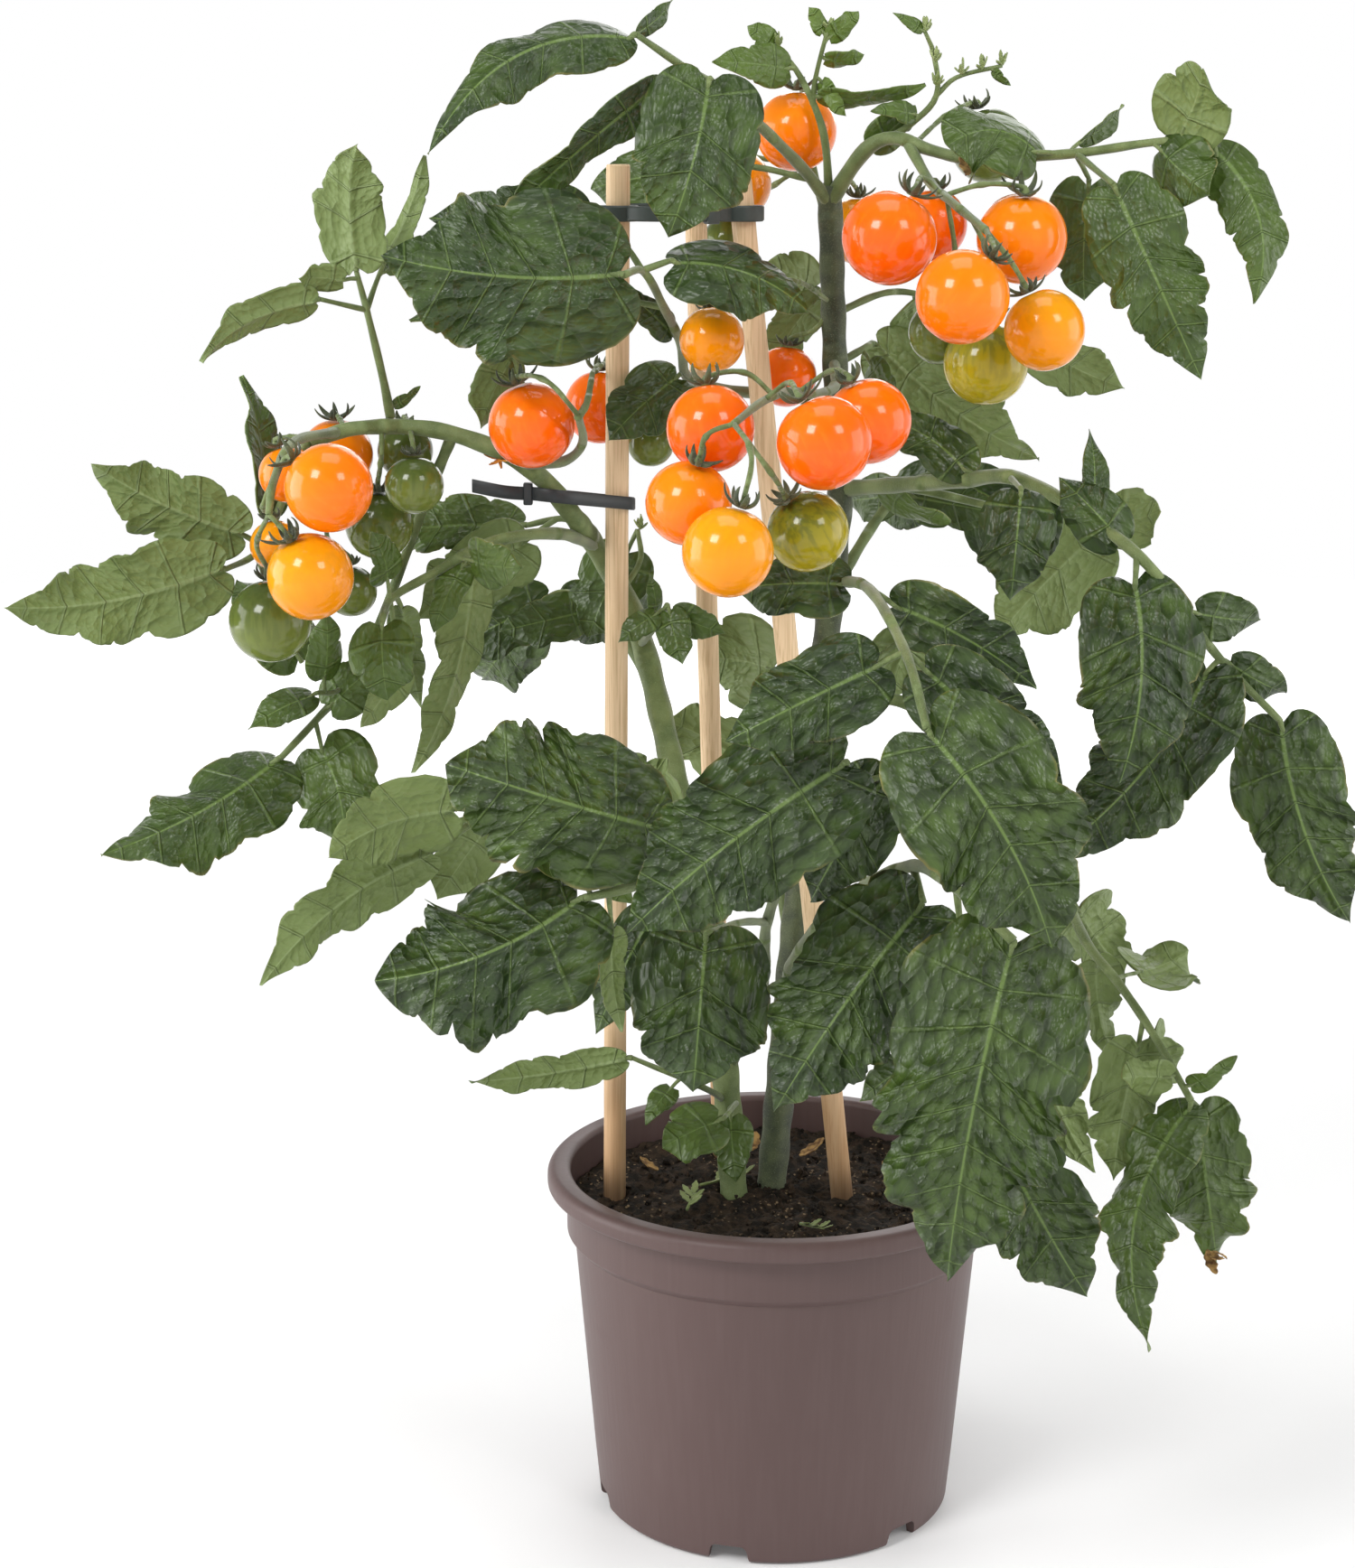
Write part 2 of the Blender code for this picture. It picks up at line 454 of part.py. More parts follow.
        Stalk([(22, 0, 382), (60, -35, 389), (76, -50, 392), (93, -62, 385), (115, -80, 370), (130, -70, 353),
               (148, -58, 331), (171, -48, 308)], 3.0, 1.2, [
            Leaflet(1.0, 160, 10, 74, 44, stem=2, arch=0.05, fold=-0.15, swing=-0.06),
            Leaflet(0.84, 220, 5, 84, 45, roll=10, stem=6, fold=0.04, swing=0.08),
            Leaflet(0.84, 120, -30, 29, 18, roll=20, stem=6),
            Leaflet(0.73, 100, -30, 28, 19, roll=20, stem=6),
            Leaflet(0.59, 185, 15, 66, 47, roll=-10, stem=10, arch=0.1, fold=-0.12, swing=0.05),
            Leaflet(0.57, 315, -20, 29, 22, roll=15, stem=4, fold=-0.1),
            Leaflet(0.5, 0, -30, 30, 11, roll=30, stem=4, fold=0.3),
            Leaflet(0.28, 300, -30, 38, 22, roll=20, stem=6, arch=0.06, swing=-0.06),
            Leaflet(0.4, 185, 0, 22, 19, roll=20, stem=4, arch=0.06)]),
        Stalk([(76, -50, 392), (77, -74, 391)], 1.1, 0.9, [
            Leaflet(1.0, 185, 10, 35, 29, stem=2, arch=0.16, fold=-0.2)]),
    ],
    "frond_crown_right": [
        Stalk([(16, -5, 482), (28, -12, 500), (37, -16, 504), (49, -20, 500), (63, -24, 497), (97, -34, 499),
               (126, -42, 503), (141, -46, 502)], 2.9, 1.1, [
            Leaflet(1.0, 165, 15, 53, 24, roll=-20, stem=2, arch=0.06, fold=-0.3, swing=0.14),
            Leaflet(0.92, 10, 40, 28, 30, roll=155, stem=4),
            Leaflet(0.86, 135, 35, 25, 26, roll=15, stem=4, fold=-0.2),
            Leaflet(0.64, 275, 15, 32, 35, roll=40, stem=8, arch=0.12, fold=-0.3, swing=-0.14, fall=0.5),
            Leaflet(0.66, 50, -25, 21, 10, roll=60, stem=7, fold=0.4),
            Leaflet(0.16, 50, -15, 21, 15, roll=20)],
              fruit=["tomato_b9"]),
        Stalk([(97, -34, 499), (108, -48, 489)], 1.2, 1.0, [
            Leaflet(1.0, 155, 10, 69, 37, stem=2, arch=0.06, fold=0.05)]),
        Stalk([(97, -34, 499), (105, -10, 490)], 1.0, 0.8, [
            Leaflet(1.0, 180, -5, 39, 31, roll=15)]),
        # the truss below the crown
        Stalk([(42, -18, 502), (49, -30, 489), (53, -56, 484), (63, -79, 475)], 1.9, 1.3,
              fruit=[f"tomato_b{number}" for number in range(1, 8)]),
        # the tallest shoot, with flower buds
        Stalk([(33, -14, 502), (44, -12, 509), (52, -10, 518), (51, -8, 532), (48, -8, 539)], 1.3, 0.7, [
            Leaflet(0.35, 275, 25, 17, 9, roll=30, stem=2),
            Leaflet(1.0, 300, 0, 12, 5, roll=20, stem=1)]),
        Stalk([(52, -10, 518), (59, -6, 524), (75, -2, 528)], 0.9, 0.7, [
            Leaflet(0.85, 130, 5, 8, 4, roll=20, stem=1)]),
    ],
    "frond_drooping_right": [
        Stalk([(15, 10, 295), (42, 20, 302), (73, 20, 283), (92, 0, 264), (106, -50, 230), (117, -62, 217),
               (127, -70, 203), (140, -80, 181)], 2.6, 1.2, [
            Leaflet(1.0, 190, 15, 84, 28, roll=20, stem=2, arch=0.1, fold=-0.2, swing=-0.12),
            Leaflet(0.98, 45, 30, 22, 9, roll=30, stem=3, arch=0.05, fold=0.3),
            Leaflet(0.96, 280, 30, 21, 15, roll=160, stem=4),
            Leaflet(0.31, 130, -15, 38, 32, roll=160, stem=7),
            Leaflet(0.53, 185, 25, 31, 17, roll=160, stem=4),
            Leaflet(0.6, 145, -25, 38, 31, roll=160, stem=12),
            Leaflet(0.73, 170, -10, 38, 21, roll=155, stem=4),
            Leaflet(0.79, 85, -45, 30, 30, roll=150, stem=12),
            Leaflet(0.87, 150, -35, 34, 17, roll=150, stem=6),
            Leaflet(0.86, 190, 5, 49, 28, roll=165, stem=9)]),
        Stalk([(140, -80, 181), (143, -73, 177)], 0.9, 0.9, [
            Leaflet(1.0, 170, -5, 60, 36, stem=2, arch=0.12, fold=-0.2)]),
    ],
    "frond_back_left": [grown_by_rule([(-46, 0, 312), (-62, 38, 330), (-80, 68, 334), (-94, 92, 322)], 54.0)],
    "frond_back_right": [grown_by_rule([(17, 8, 340), (44, 52, 372), (66, 82, 378), (84, 108, 364)], 52.0)],
    "frond_back_low": [grown_by_rule([(6, 14, 205), (0, 52, 238), (-10, 88, 246), (-22, 118, 230)], 56.0)],
}


# ------------------------------------------------------------------------------- small helpers
def material(name: str, colour: tuple, roughness: float, metallic: float = 0.0):
    """A Principled material of its own for one sub-part."""
    made = bpy.data.materials.new(name)
    made.use_nodes = True
    shader = made.node_tree.nodes["Principled BSDF"]
    shader.inputs["Base Color"].default_value = (*colour, 1.0)
    shader.inputs["Roughness"].default_value = roughness
    shader.inputs["Metallic"].default_value = metallic
    made.diffuse_color = (*colour, 1.0)
    return made


def add_object(name: str, bm: bmesh.types.BMesh, finish=None, smooth: float = 0.0):
    """Turn a bmesh in millimetres into an object in metres.

    A positive smooth angle, in degrees, shades the faces smooth up to that crease.
    """
    bmesh.ops.scale(bm, vec=(MM, MM, MM), verts=bm.verts)
    bmesh.ops.recalc_face_normals(bm, faces=bm.faces)
    mesh = bpy.data.meshes.new(name)
    bm.to_mesh(mesh)
    bm.free()
    if finish is not None:
        mesh.materials.append(finish)
    if smooth:
        mesh.shade_smooth()
        mesh.set_sharp_from_angle(angle=math.radians(smooth))
    made = bpy.data.objects.new(name, mesh)
    bpy.context.scene.collection.objects.link(made)
    return made


def bake(target, operation: str, solver: str = "EXACT", operand=None, collection=None) -> None:
    """Apply one Boolean to the target and remove what it was made with."""
    boolean = target.modifiers.new("boolean", "BOOLEAN")
    boolean.operation = operation
    boolean.solver = solver
    if collection is not None:
        boolean.operand_type = "COLLECTION"
        boolean.collection = collection
    else:
        boolean.object = operand
    depsgraph = bpy.context.evaluated_depsgraph_get()
    result = bpy.data.meshes.new_from_object(target.evaluated_get(depsgraph))
    target.modifiers.clear()
    target.data = result
    for used in list(collection.objects) if collection is not None else [operand]:
        bpy.data.objects.remove(used)
    if collection is not None:
        bpy.data.collections.remove(collection)


def fuse(target, pieces: list) -> None:
    """Join pieces that grow from the target into one solid with it."""
    together = bpy.data.collections.new("pieces")
    bpy.context.scene.collection.children.link(together)
    for piece in pieces:
        bpy.context.scene.collection.objects.unlink(piece)
        together.objects.link(piece)
    bake(target, "UNION", "MANIFOLD", collection=together)


def cut(target, tool) -> None:
    """Take a tool's shape out of the target."""
    tool.hide_render = True
    tool.display_type = "WIRE"
    bake(target, "DIFFERENCE", "MANIFOLD", operand=tool)


def turned(profile: list[tuple[float, float]], sides: int) -> bmesh.types.BMesh:
    """Spin a closed or axis-to-axis outline of (radius, height) about the Z axis."""
    bm = bmesh.new()
    verts = [bm.verts.new((radius, 0.0, height)) for radius, height in profile]
    edges = [bm.edges.new(pair) for pair in zip(verts, verts[1:])]
    if profile[0][0] > 0.0 or profile[-1][0] > 0.0:
        edges.append(bm.edges.new((verts[-1], verts[0])))
    bmesh.ops.spin(bm, geom=verts + edges, cent=(0, 0, 0), axis=(0, 0, 1), angle=2 * math.pi,
                   steps=sides, use_merge=True)
    bmesh.ops.remove_doubles(bm, verts=bm.verts, dist=0.001)
    return bm


def tube(path: list, radii: list, sides: int) -> bmesh.types.BMesh:
    """Sweep a round section along a path, with flat ends."""
    points = [np.array(point, float) for point in path]
    bm = bmesh.new()
    rings = []
    across = None
    for index, (point, radius) in enumerate(zip(points, radii)):
        ahead = points[min(index + 1, len(points) - 1)]
        behind = points[max(index - 1, 0)]
        along = unit(ahead - behind)
        if across is None:
            seed = np.array((0.0, 0.0, 1.0)) if abs(along[2]) < 0.9 else np.array((1.0, 0.0, 0.0))
            across = seed
        across = unit(across - along * np.dot(across, along))
        other = np.cross(along, across)
        ring = []
        for side in range(sides):
            angle = 2 * math.pi * side / sides
            ring.append(bm.verts.new(point + radius * (across * math.cos(angle) + other * math.sin(angle))))
        rings.append(ring)
    for low, high in zip(rings, rings[1:]):
        for side in range(sides):
            after = (side + 1) % sides
            bm.faces.new((low[side], low[after], high[after], high[side]))
    bm.faces.new(rings[0][::-1])
    bm.faces.new(rings[-1])
    return bm


def stalk_tube(stalk: Stalk, sides: int = STALK_SIDES, grow: float = 0.0) -> bmesh.types.BMesh:
    """The tube of a stalk, tapered along its length and grown outwards for a cutter."""
    count = len(stalk.path)
    radii = [stalk.thick + (stalk.thin - stalk.thick) * k / (count - 1) + grow
             for k in range(count)]
    path = [np.array(point, float) for point in stalk.path]
    if grow:
        path[0] = path[0] + unit(path[0] - path[1]) * grow
        path[-1] = path[-1] + unit(path[-1] - path[-2]) * grow
    return tube(path, radii, sides)


# ----------------------------------------------------------------------------------- leaf blade
def point_along(path: list[Point], share: float) -> np.ndarray:
    """The point at a share of a path's length."""
    points = [np.array(point, float) for point in path]
    lengths = [np.linalg.norm(after - before) for before, after in zip(points, points[1:])]
    left = share * sum(lengths)
    for start, end, length in zip(points, points[1:], lengths):
        if left <= length:
            return start + (end - start) * left / length
        left -= length
    return points[-1]


def nearest_on(path: list[Point], point: np.ndarray) -> np.ndarray:
    """The closest point to a place on a path."""
    best, least = None, math.inf
    for start, end in zip(path, path[1:]):
        start, end = np.array(start, float), np.array(end, float)
        run = end - start
        share = min(max(np.dot(point - start, run) / np.dot(run, run), 0.0), 1.0)
        place = start + run * share
        distance = np.linalg.norm(place - point)
        if distance < least:
            best, least = place, distance
    return best


@dataclass(frozen=True)
class Blade:
    """A leaflet in place: its base, the way of its midrib and the way that its face points."""

    leaf: Leaflet
    root: np.ndarray
    base: np.ndarray
    axis: np.ndarray
    face: np.ndarray
    teeth: int

    def at(self, along: float, across: float) -> tuple[np.ndarray, np.ndarray]:
        """A point of the middle surface and its normal.

        along runs from 0 at the base to 1 at the tip, and across from -1 to 1 over the width.
        """
        leaf = self.leaf
        side = np.cross(self.face, self.axis)
        bow = 4 * along * (1 - along)
        slope = 4 * (1 - 2 * along)
        bent = self.face * leaf.arch + side * leaf.swing
        middle = self.base + leaf.length * (self.axis * along + bent * bow)
        tangent = unit(self.axis + bent * slope)
        normal = unit(self.face - tangent * np.dot(self.face, tangent))
        sideways = np.cross(normal, tangent)

        peak = BLADE_RISE / (BLADE_RISE + leaf.fall)
        widest = peak ** BLADE_RISE * (1 - peak) ** leaf.fall
        outline = along ** BLADE_RISE * (1 - along) ** leaf.fall / widest
        fade = math.sin(math.pi * along) ** 0.5 if 0 < along < 1 else 0.0
        tooth = abs(math.sin(math.pi * self.teeth * along ** TOOTH_SPREAD)) ** TOOTH_POWER - TOOTH_LEVEL
        half = leaf.width / 2 * outline * (1 + TOOTH_DEPTH * tooth * fade * across * across)

        start, turn, share, end = LOBE_LEAN
        lean = math.radians(start + turn * min(along / share, 1.0) ** 0.7 + end * along)
        out = sideways * math.copysign(math.cos(lean), across) + tangent * math.sin(lean)
        reach = abs(across) * half
        lift = (leaf.fold + BLADE_CURL * abs(across)) * reach
        return middle + out * reach + normal * lift, normal

    def stations(self) -> list[float]:
        """Shares of the length with a row of points: the basal lobes, each tooth and each notch."""
        if self.leaf.length < TINY_LEAFLET:
            return [0.35]
        if self.leaf.length < SMALL_LEAFLET:
            return [0.25, 0.65]
        rows = [BASAL_LOBE]
        for step in range(1, 2 * self.teeth):
            rows.append((step / 2 / self.teeth) ** (1 / TOOTH_SPREAD))
        return rows


def placed(leaf: Leaflet, stalk: Stalk) -> Blade:
    """Put a leaflet on its stalk and turn its face to the window."""
    heading, lean = math.radians(leaf.heading), math.radians(leaf.lean)
    axis = np.array((math.sin(heading) * math.cos(lean), -math.sin(lean), math.cos(heading) * math.cos(lean)))
    root = point_along(stalk.path, leaf.at)
    base = root + axis * leaf.stem
    towards = np.array(LIGHT) - (base + axis * leaf.length / 2)
    face = unit(towards - axis * np.dot(towards, axis))
    roll = math.radians(leaf.roll)
    face = face * math.cos(roll) + np.cross(axis, face) * math.sin(roll)
    teeth = TEETH_PER_SIDE[leaf.length > LARGE_LEAFLET]
    return Blade(leaf, root, base, axis, face, teeth)


def loft(rings: list[list[np.ndarray]], tip: np.ndarray) -> bmesh.types.BMesh:
    """Join four-point sections (left, upper, right, lower) into a solid that ends in a point.

    The upper and the lower faces are split into triangles along the same diagonals.
    """
    bm = bmesh.new()
    sections = [[bm.verts.new(point) for point in ring] for ring in rings]
    for near, far in zip(sections, sections[1:]):
        for edge, ridge in ((0, 1), (0, 3), (2, 1), (2, 3)):
            bm.faces.new((near[edge], near[ridge], far[ridge]))
            bm.faces.new((near[edge], far[ridge], far[edge]))
    end = bm.verts.new(tip)
    for side in range(4):
        bm.faces.new((sections[-1][side], sections[-1][(side + 1) % 4], end))
    bm.faces.new(sections[0])
    return bm


def leaflet_solid(blade: Blade) -> bmesh.types.BMesh:
    """A leaflet's blade, thickest along its midrib, on a short stalk rooted in the longer one."""
    sideways = np.cross(blade.face, blade.axis)
    wide, thick = sideways * PETIOLULE_RADIUS, blade.face * PETIOLULE_RADIUS
    rings = [[blade.root - wide, blade.root + thick, blade.root + wide, blade.root - thick]]
    if blade.leaf.stem > PETIOLULE_LEAST:
        base = blade.base
        rings.append([base - wide, base + thick, base + wide, base - thick])
    for along in blade.stations():
        left, _ = blade.at(along, -1.0)
        middle, normal = blade.at(along, 0.0)
        right, _ = blade.at(along, 1.0)
        rib = normal * BLADE_THICKNESS / 2
        rings.append([left, middle + rib, right, middle - rib])
    return loft(rings, blade.at(1.0, 0.0)[0])


def calyx(stalk: Stalk, fruit: Tomato) -> bmesh.types.BMesh:
    """The star of sepals on a tomato, which spread and curl back, and its pedicel to the truss."""
    centre, up = np.array(fruit.centre, float), unit(np.array(fruit.up, float))
    across = unit(np.cross(up, CALYX_SEED))
    other = np.cross(up, across)
    seat = centre + up * (fruit.radius + CALYX_LIFT)
    crown = seat + up * HUB_HEIGHT
    way = [crown] + [np.array(point, float) for point in fruit.via[::-1]]
    way.append(nearest_on(stalk.path, way[-1]))
    size = fruit.radius / 15.0
    bm = bmesh.new()
    lower = bm.verts.new(seat)
    rim, collar = [], []
    for point in range(2 * CALYX_SEPALS):
        angle = math.pi * (point + 0.3 * math.sin(7 * point)) / CALYX_SEPALS
        out = across * math.cos(angle) + other * math.sin(angle)
        if point % 2:
            rim.append(bm.verts.new(seat + out * SEPAL_WAIST * size + up * SEPAL_LIFT))
        else:
            curl = SEPAL_CURL * (1.0 + 0.6 * math.sin(5 * point + fruit.centre[0]))
            rim.append(bm.verts.new(seat + (out * SEPAL_LENGTH + up * curl) * size))
            collar.append(bm.verts.new(crown + out * PEDICEL_RADIUS))
    count = len(rim)
    for point in range(count):
        bm.faces.new((lower, rim[(point + 1) % count], rim[point]))
        bm.faces.new((rim[point], rim[(point + 1) % count], collar[(point + 1) // 2 % CALYX_SEPALS]))
    for sepal in range(CALYX_SEPALS):
        bm.faces.new((rim[2 * sepal + 1], collar[(sepal + 1) % CALYX_SEPALS], collar[sepal]))
    rings, facing = [collar], Vector(up)
    spokes = [vert.co - Vector(crown) for vert in collar]
    for before, place, after in zip(way, way[1:], way[2:] + [way[-1]]):
        run = Vector(after - before)
        turn = facing.rotation_difference(run)
        spokes = [turn @ spoke for spoke in spokes]
        facing = run
        rings.append([bm.verts.new(Vector(place) + spoke) for spoke in spokes])
    for low, high in zip(rings, rings[1:]):
        for side in range(CALYX_SEPALS):
            after = (side + 1) % CALYX_SEPALS
            bm.faces.new((low[side], low[after], high[after], high[side]))
    bm.faces.new(rings[-1])
    return bm


def keep_body(made) -> None:
    """Keep the one outer skin of a fused solid: fill its sealed hollows and drop loose scraps."""
    bm = bmesh.new()
    bm.from_mesh(made.data)
    bm.faces.ensure_lookup_table()
    seen, skins = set(), []
    for face in bm.faces:
        if face.index in seen:
            continue
        skin, waiting = [], [face]
        seen.add(face.index)
        while waiting:
            current = waiting.pop()
            skin.append(current)
            for edge in current.edges:
                for near in edge.link_faces:
                    if near.index not in seen:
                        seen.add(near.index)
                        waiting.append(near)
        skins.append(skin)
    skins.sort(key=len, reverse=True)
    extra = [face for skin in skins[1:] for face in skin]
    bmesh.ops.delete(bm, geom=extra, context="FACES")
    bmesh.ops.triangulate(bm, faces=bm.faces)
    bm.to_mesh(made.data)
    bm.free()


# ------------------------------------------------------------------------------------- the pot
def pot_wall_radius(z: float) -> float:
    """Outer radius of the pot below its step, at a height."""
    top = POT_HEIGHT - POT_COLLAR_HEIGHT
    share = min(max(z / top, 0.0), 1.0)
    return POT_BASE_RADIUS + (POT_COLLAR_RADIUS - POT_STEP - POT_BASE_RADIUS) * share


def build_pot() -> None:
    """The moulded pot: rolled lip, collar, tapered wall and a foot ring with drainage notches."""
    step = POT_HEIGHT - POT_COLLAR_HEIGHT
    ledge = step - POT_STEP_SLOPE
    lip = POT_HEIGHT - POT_LIP_HEIGHT
    inner_edge, outer_edge = POT_CHANNEL_RADII
    floor = POT_CHANNEL_DEPTH + POT_WALL
    rim, collar, corner = POT_RIM_RADIUS, POT_COLLAR_RADIUS, POT_LIP_ROUND
    profile = [
        (0.0, 0.0), (inner_edge, 0.0), (inner_edge, POT_CHANNEL_DEPTH), (outer_edge, POT_CHANNEL_DEPTH),
        (outer_edge, 0.0), (POT_BASE_RADIUS - POT_FOOT_ROUND, 0.0), (POT_BASE_RADIUS, POT_FOOT_ROUND),
        (pot_wall_radius(ledge), ledge), (collar, step), (collar, lip), (rim - corner, lip),
        (rim, lip + corner), (rim, POT_HEIGHT - corner), (rim - corner, POT_HEIGHT),
        (collar - POT_WALL, POT_HEIGHT - corner), (collar - POT_WALL, step),
        (pot_wall_radius(ledge) - POT_WALL, ledge), (pot_wall_radius(floor) - POT_WALL, floor),
        (inner_edge - POT_WALL, floor), (inner_edge - POT_WALL, POT_WALL), (0.0, POT_WALL),
    ]
    pot = add_object("pot", turned(profile, POT_SIDES), material("pot", (0.24, 0.20, 0.19), 0.55), 40.0)
    for index in range(NOTCHES):
        angle = math.radians(NOTCH_START_ANGLE + 360.0 * index / NOTCHES)
        bm = bmesh.new()
        bmesh.ops.create_cube(bm, size=1.0)
        bmesh.ops.scale(bm, vec=(NOTCH_REACH, NOTCH_WIDTH, 2 * POT_CHANNEL_DEPTH - 1.0), verts=bm.verts)
        for vert in bm.verts:
            if vert.co.z > 0:
                vert.co.y *= NOTCH_TAPER
        bmesh.ops.rotate(bm, cent=(0, 0, 0), verts=bm.verts, matrix=Matrix.Rotation(angle, 3, "Z"))
        reach = POT_BASE_RADIUS - POT_FOOT_WIDTH / 2
        bmesh.ops.translate(bm, verts=bm.verts, vec=(reach * math.cos(angle), reach * math.sin(angle), 0.0))
        cut(pot, add_object("notch", bm))


def build_soil() -> None:
    """The root ball: it fills the pot with a gap to the wall and has a rough, crumbly top."""
    floor = POT_CHANNEL_DEPTH + POT_WALL + GAP
    step = POT_HEIGHT - POT_COLLAR_HEIGHT
    ledge = step - POT_STEP_SLOPE
    wall = POT_WALL + GAP
    profile = [(0.0, floor), (pot_wall_radius(floor) - wall, floor),
               (pot_wall_radius(ledge) - wall, ledge + GAP / 2), (POT_COLLAR_RADIUS - wall, step + GAP / 2),
               (POT_COLLAR_RADIUS - wall, SOIL_LEVEL)]
    profile += [(radius, SOIL_LEVEL) for radius in SOIL_RINGS]
    bm = turned(profile, POT_SIDES)
    for vert in bm.verts:
        radius = math.hypot(vert.co.x, vert.co.y)
        if vert.co.z > SOIL_LEVEL - GAP and radius < POT_COLLAR_RADIUS - wall - 1.0:
            broad = math.sin(0.21 * vert.co.x + 1.3) * math.cos(0.17 * vert.co.y)
            fine = math.sin(0.5 * vert.co.x - 0.4 * vert.co.y)
            vert.co.z += SOIL_ROUGHNESS * (broad + fine)
    soil = add_object("soil", bm, material("soil", (0.05, 0.035, 0.025), 0.95))
    for cane in CANES.values():
        foot, top = cane.at(CANE_FOOT - 1.0), cane.at(SOIL_LEVEL + 20.0)
        cut(soil, add_object("hole", tube([foot, top], [cane.radius + GAP] * 2, CANE_SIDES)))
    for stem in MAIN_STEMS:
        hole = Stalk(stem.path[:2], stem.thick, stem.thick)
        cut(soil, add_object("hole", stalk_tube(hole, STEM_SIDES, GAP + 0.1)))


def build_canes() -> None:
    """The three canes, each a plain round stick with its top cut across."""
    for name, cane in CANES.items():
        foot, top = cane.at(CANE_FOOT), cane.at(cane.top)
        bm = tube([foot, top], [cane.radius] * 2, CANE_SIDES)
        for vert in bm.verts:
            if vert.co.z > cane.top - cane.radius:
                vert.co.z += cane.bevel * (vert.co.x - top[0]) / cane.radius
        add_object(name, bm, material(name, (0.62, 0.43, 0.25), 0.6), 40.0)


def build_ring() -> None:
    """The plastic clip that holds the cane tops: a band with an eye round each cane."""
    centre = np.array(RING_CENTRE)
    low, high = -RING_HEIGHT / 2, RING_HEIGHT / 2
    inner, outer = RING_RADIUS - RING_BAND / 2, RING_RADIUS + RING_BAND / 2
    band = turned([(inner, low), (outer, low), (outer, high), (inner, high)], RING_SIDES)
    bmesh.ops.translate(band, verts=band.verts, vec=centre)
    ring = add_object("cane_ring", band, material("cane_ring", (0.05, 0.075, 0.07), 0.5), 40.0)
    eyes = []
    for cane in CANES.values():
        eye = turned([(0.0, low), (RING_EYE_RADIUS, low), (RING_EYE_RADIUS, high), (0.0, high)], EYE_SIDES)
        bmesh.ops.translate(eye, verts=eye.verts, vec=cane.at(RING_CENTRE[2]))
        eyes.append(add_object("eye", eye))
    fuse(ring, eyes)
    for cane in CANES.values():
        below, above = cane.at(RING_CENTRE[2] + 4 * low), cane.at(RING_CENTRE[2] + 4 * high)
        cut(ring, add_object("hole", tube([below, above], [cane.radius + GAP] * 2, CANE_SIDES)))


def tie_path() -> list[np.ndarray]:
    """The strap's loop: half a turn round the cane, straight runs, half a turn round the stem."""
    cane = CANES["cane_left"].at(TIE_HEIGHT)[:2]
    stem = np.array(TIE_STEM)
    run = unit(stem - cane)
    heading = math.atan2(run[1], run[0])
    path = []
    for centre, radius, start in ((cane, CANE_RADIUS + GAP + TIE_THICKNESS, heading + math.pi / 2),
                                  (stem, TIE_STEM_RADIUS, heading - math.pi / 2)):
        for index in range(TIE_SIDES + 1):
            angle = start + math.pi * index / TIE_SIDES
            place = centre + radius * np.array((math.cos(angle), math.sin(angle)))
            drop = TIE_SLOPE * np.dot(place - cane, run)
            path.append(np.array((place[0], place[1], TIE_HEIGHT + drop)))
    return path


def strap(path: list[np.ndarray], closed: bool) -> bmesh.types.BMesh:
    """A flat band standing on edge along a path."""
    bm = bmesh.new()
    rings = []
    count = len(path)
    for index, point in enumerate(path):
        ahead = path[(index + 1) % count] if closed else path[min(index + 1, count - 1)]
        behind = path[index - 1] if closed else path[max(index - 1, 0)]
        along = unit(ahead - behind)
        out = unit(np.cross(along, (0.0, 0.0, 1.0)))
        ring = []
        for thick, tall in ((-1, -1), (1, -1), (1, 1), (-1, 1)):
            shift = out * thick * TIE_THICKNESS / 2
            ring.append(bm.verts.new(point + shift + np.array((0, 0, tall * TIE_WIDTH / 2))))
        rings.append(ring)
    pairs = list(zip(rings, rings[1:] + rings[:1])) if closed else list(zip(rings, rings[1:]))
    for low, high in pairs:
        for side in range(4):
            after = (side + 1) % 4
            bm.faces.new((low[side], low[after], high[after], high[side]))
    if not closed:
        bm.faces.new(rings[0][::-1])
        bm.faces.new(rings[-1])
    return bm


def build_tie() -> None:
    """The stem tie: a strap round stem and cane, its buckle, and the tail left over."""
    loop = tie_path()
    tie = add_object("stem_tie", strap(loop, True), material("stem_tie", (0.03, 0.04, 0.05), 0.45), 40.0)
    end = loop[TIE_BUCKLE_AT] + np.array((-1.0, -1.0, 0.0))
    tail = strap([end] + [end + np.array(step) for step in TIE_TAIL], False)
    buckle = bmesh.new()
    bmesh.ops.create_cube(buckle, size=1.0)
    bmesh.ops.scale(buckle, vec=TIE_BUCKLE, verts=buckle.verts)
    bmesh.ops.translate(buckle, verts=buckle.verts, vec=end)
    fuse(tie, [add_object("tail", tail), add_object("buckle", buckle)])


# ----------------------------------------------------------------------------------- the plant
def build_tomatoes() -> None:
    """Each tomato as a ball turned about the axis from its tip to its calyx."""
    for name, fruit in TOMATOES.items():
        bands = [math.pi * step / TOMATO_BANDS for step in range(TOMATO_BANDS + 1)]
        profile = [(fruit.radius * math.sin(band), -fruit.radius * math.cos(band)) for band in bands]
        profile[0], profile[-1] = (0.0, -fruit.radius), (0.0, fruit.radius)
        bm = turned(profile, TOMATO_SIDES)
        tilt = Vector((0.0, 0.0, 1.0)).rotation_difference(Vector(fruit.up)).to_matrix()
        bmesh.ops.rotate(bm, cent=(0, 0, 0), verts=bm.verts, matrix=tilt)
        bmesh.ops.translate(bm, verts=bm.verts, vec=fruit.centre)
        add_object(name, bm, material(name, RIPENESS_COLOURS[fruit.ripeness], 0.25), 80.0)


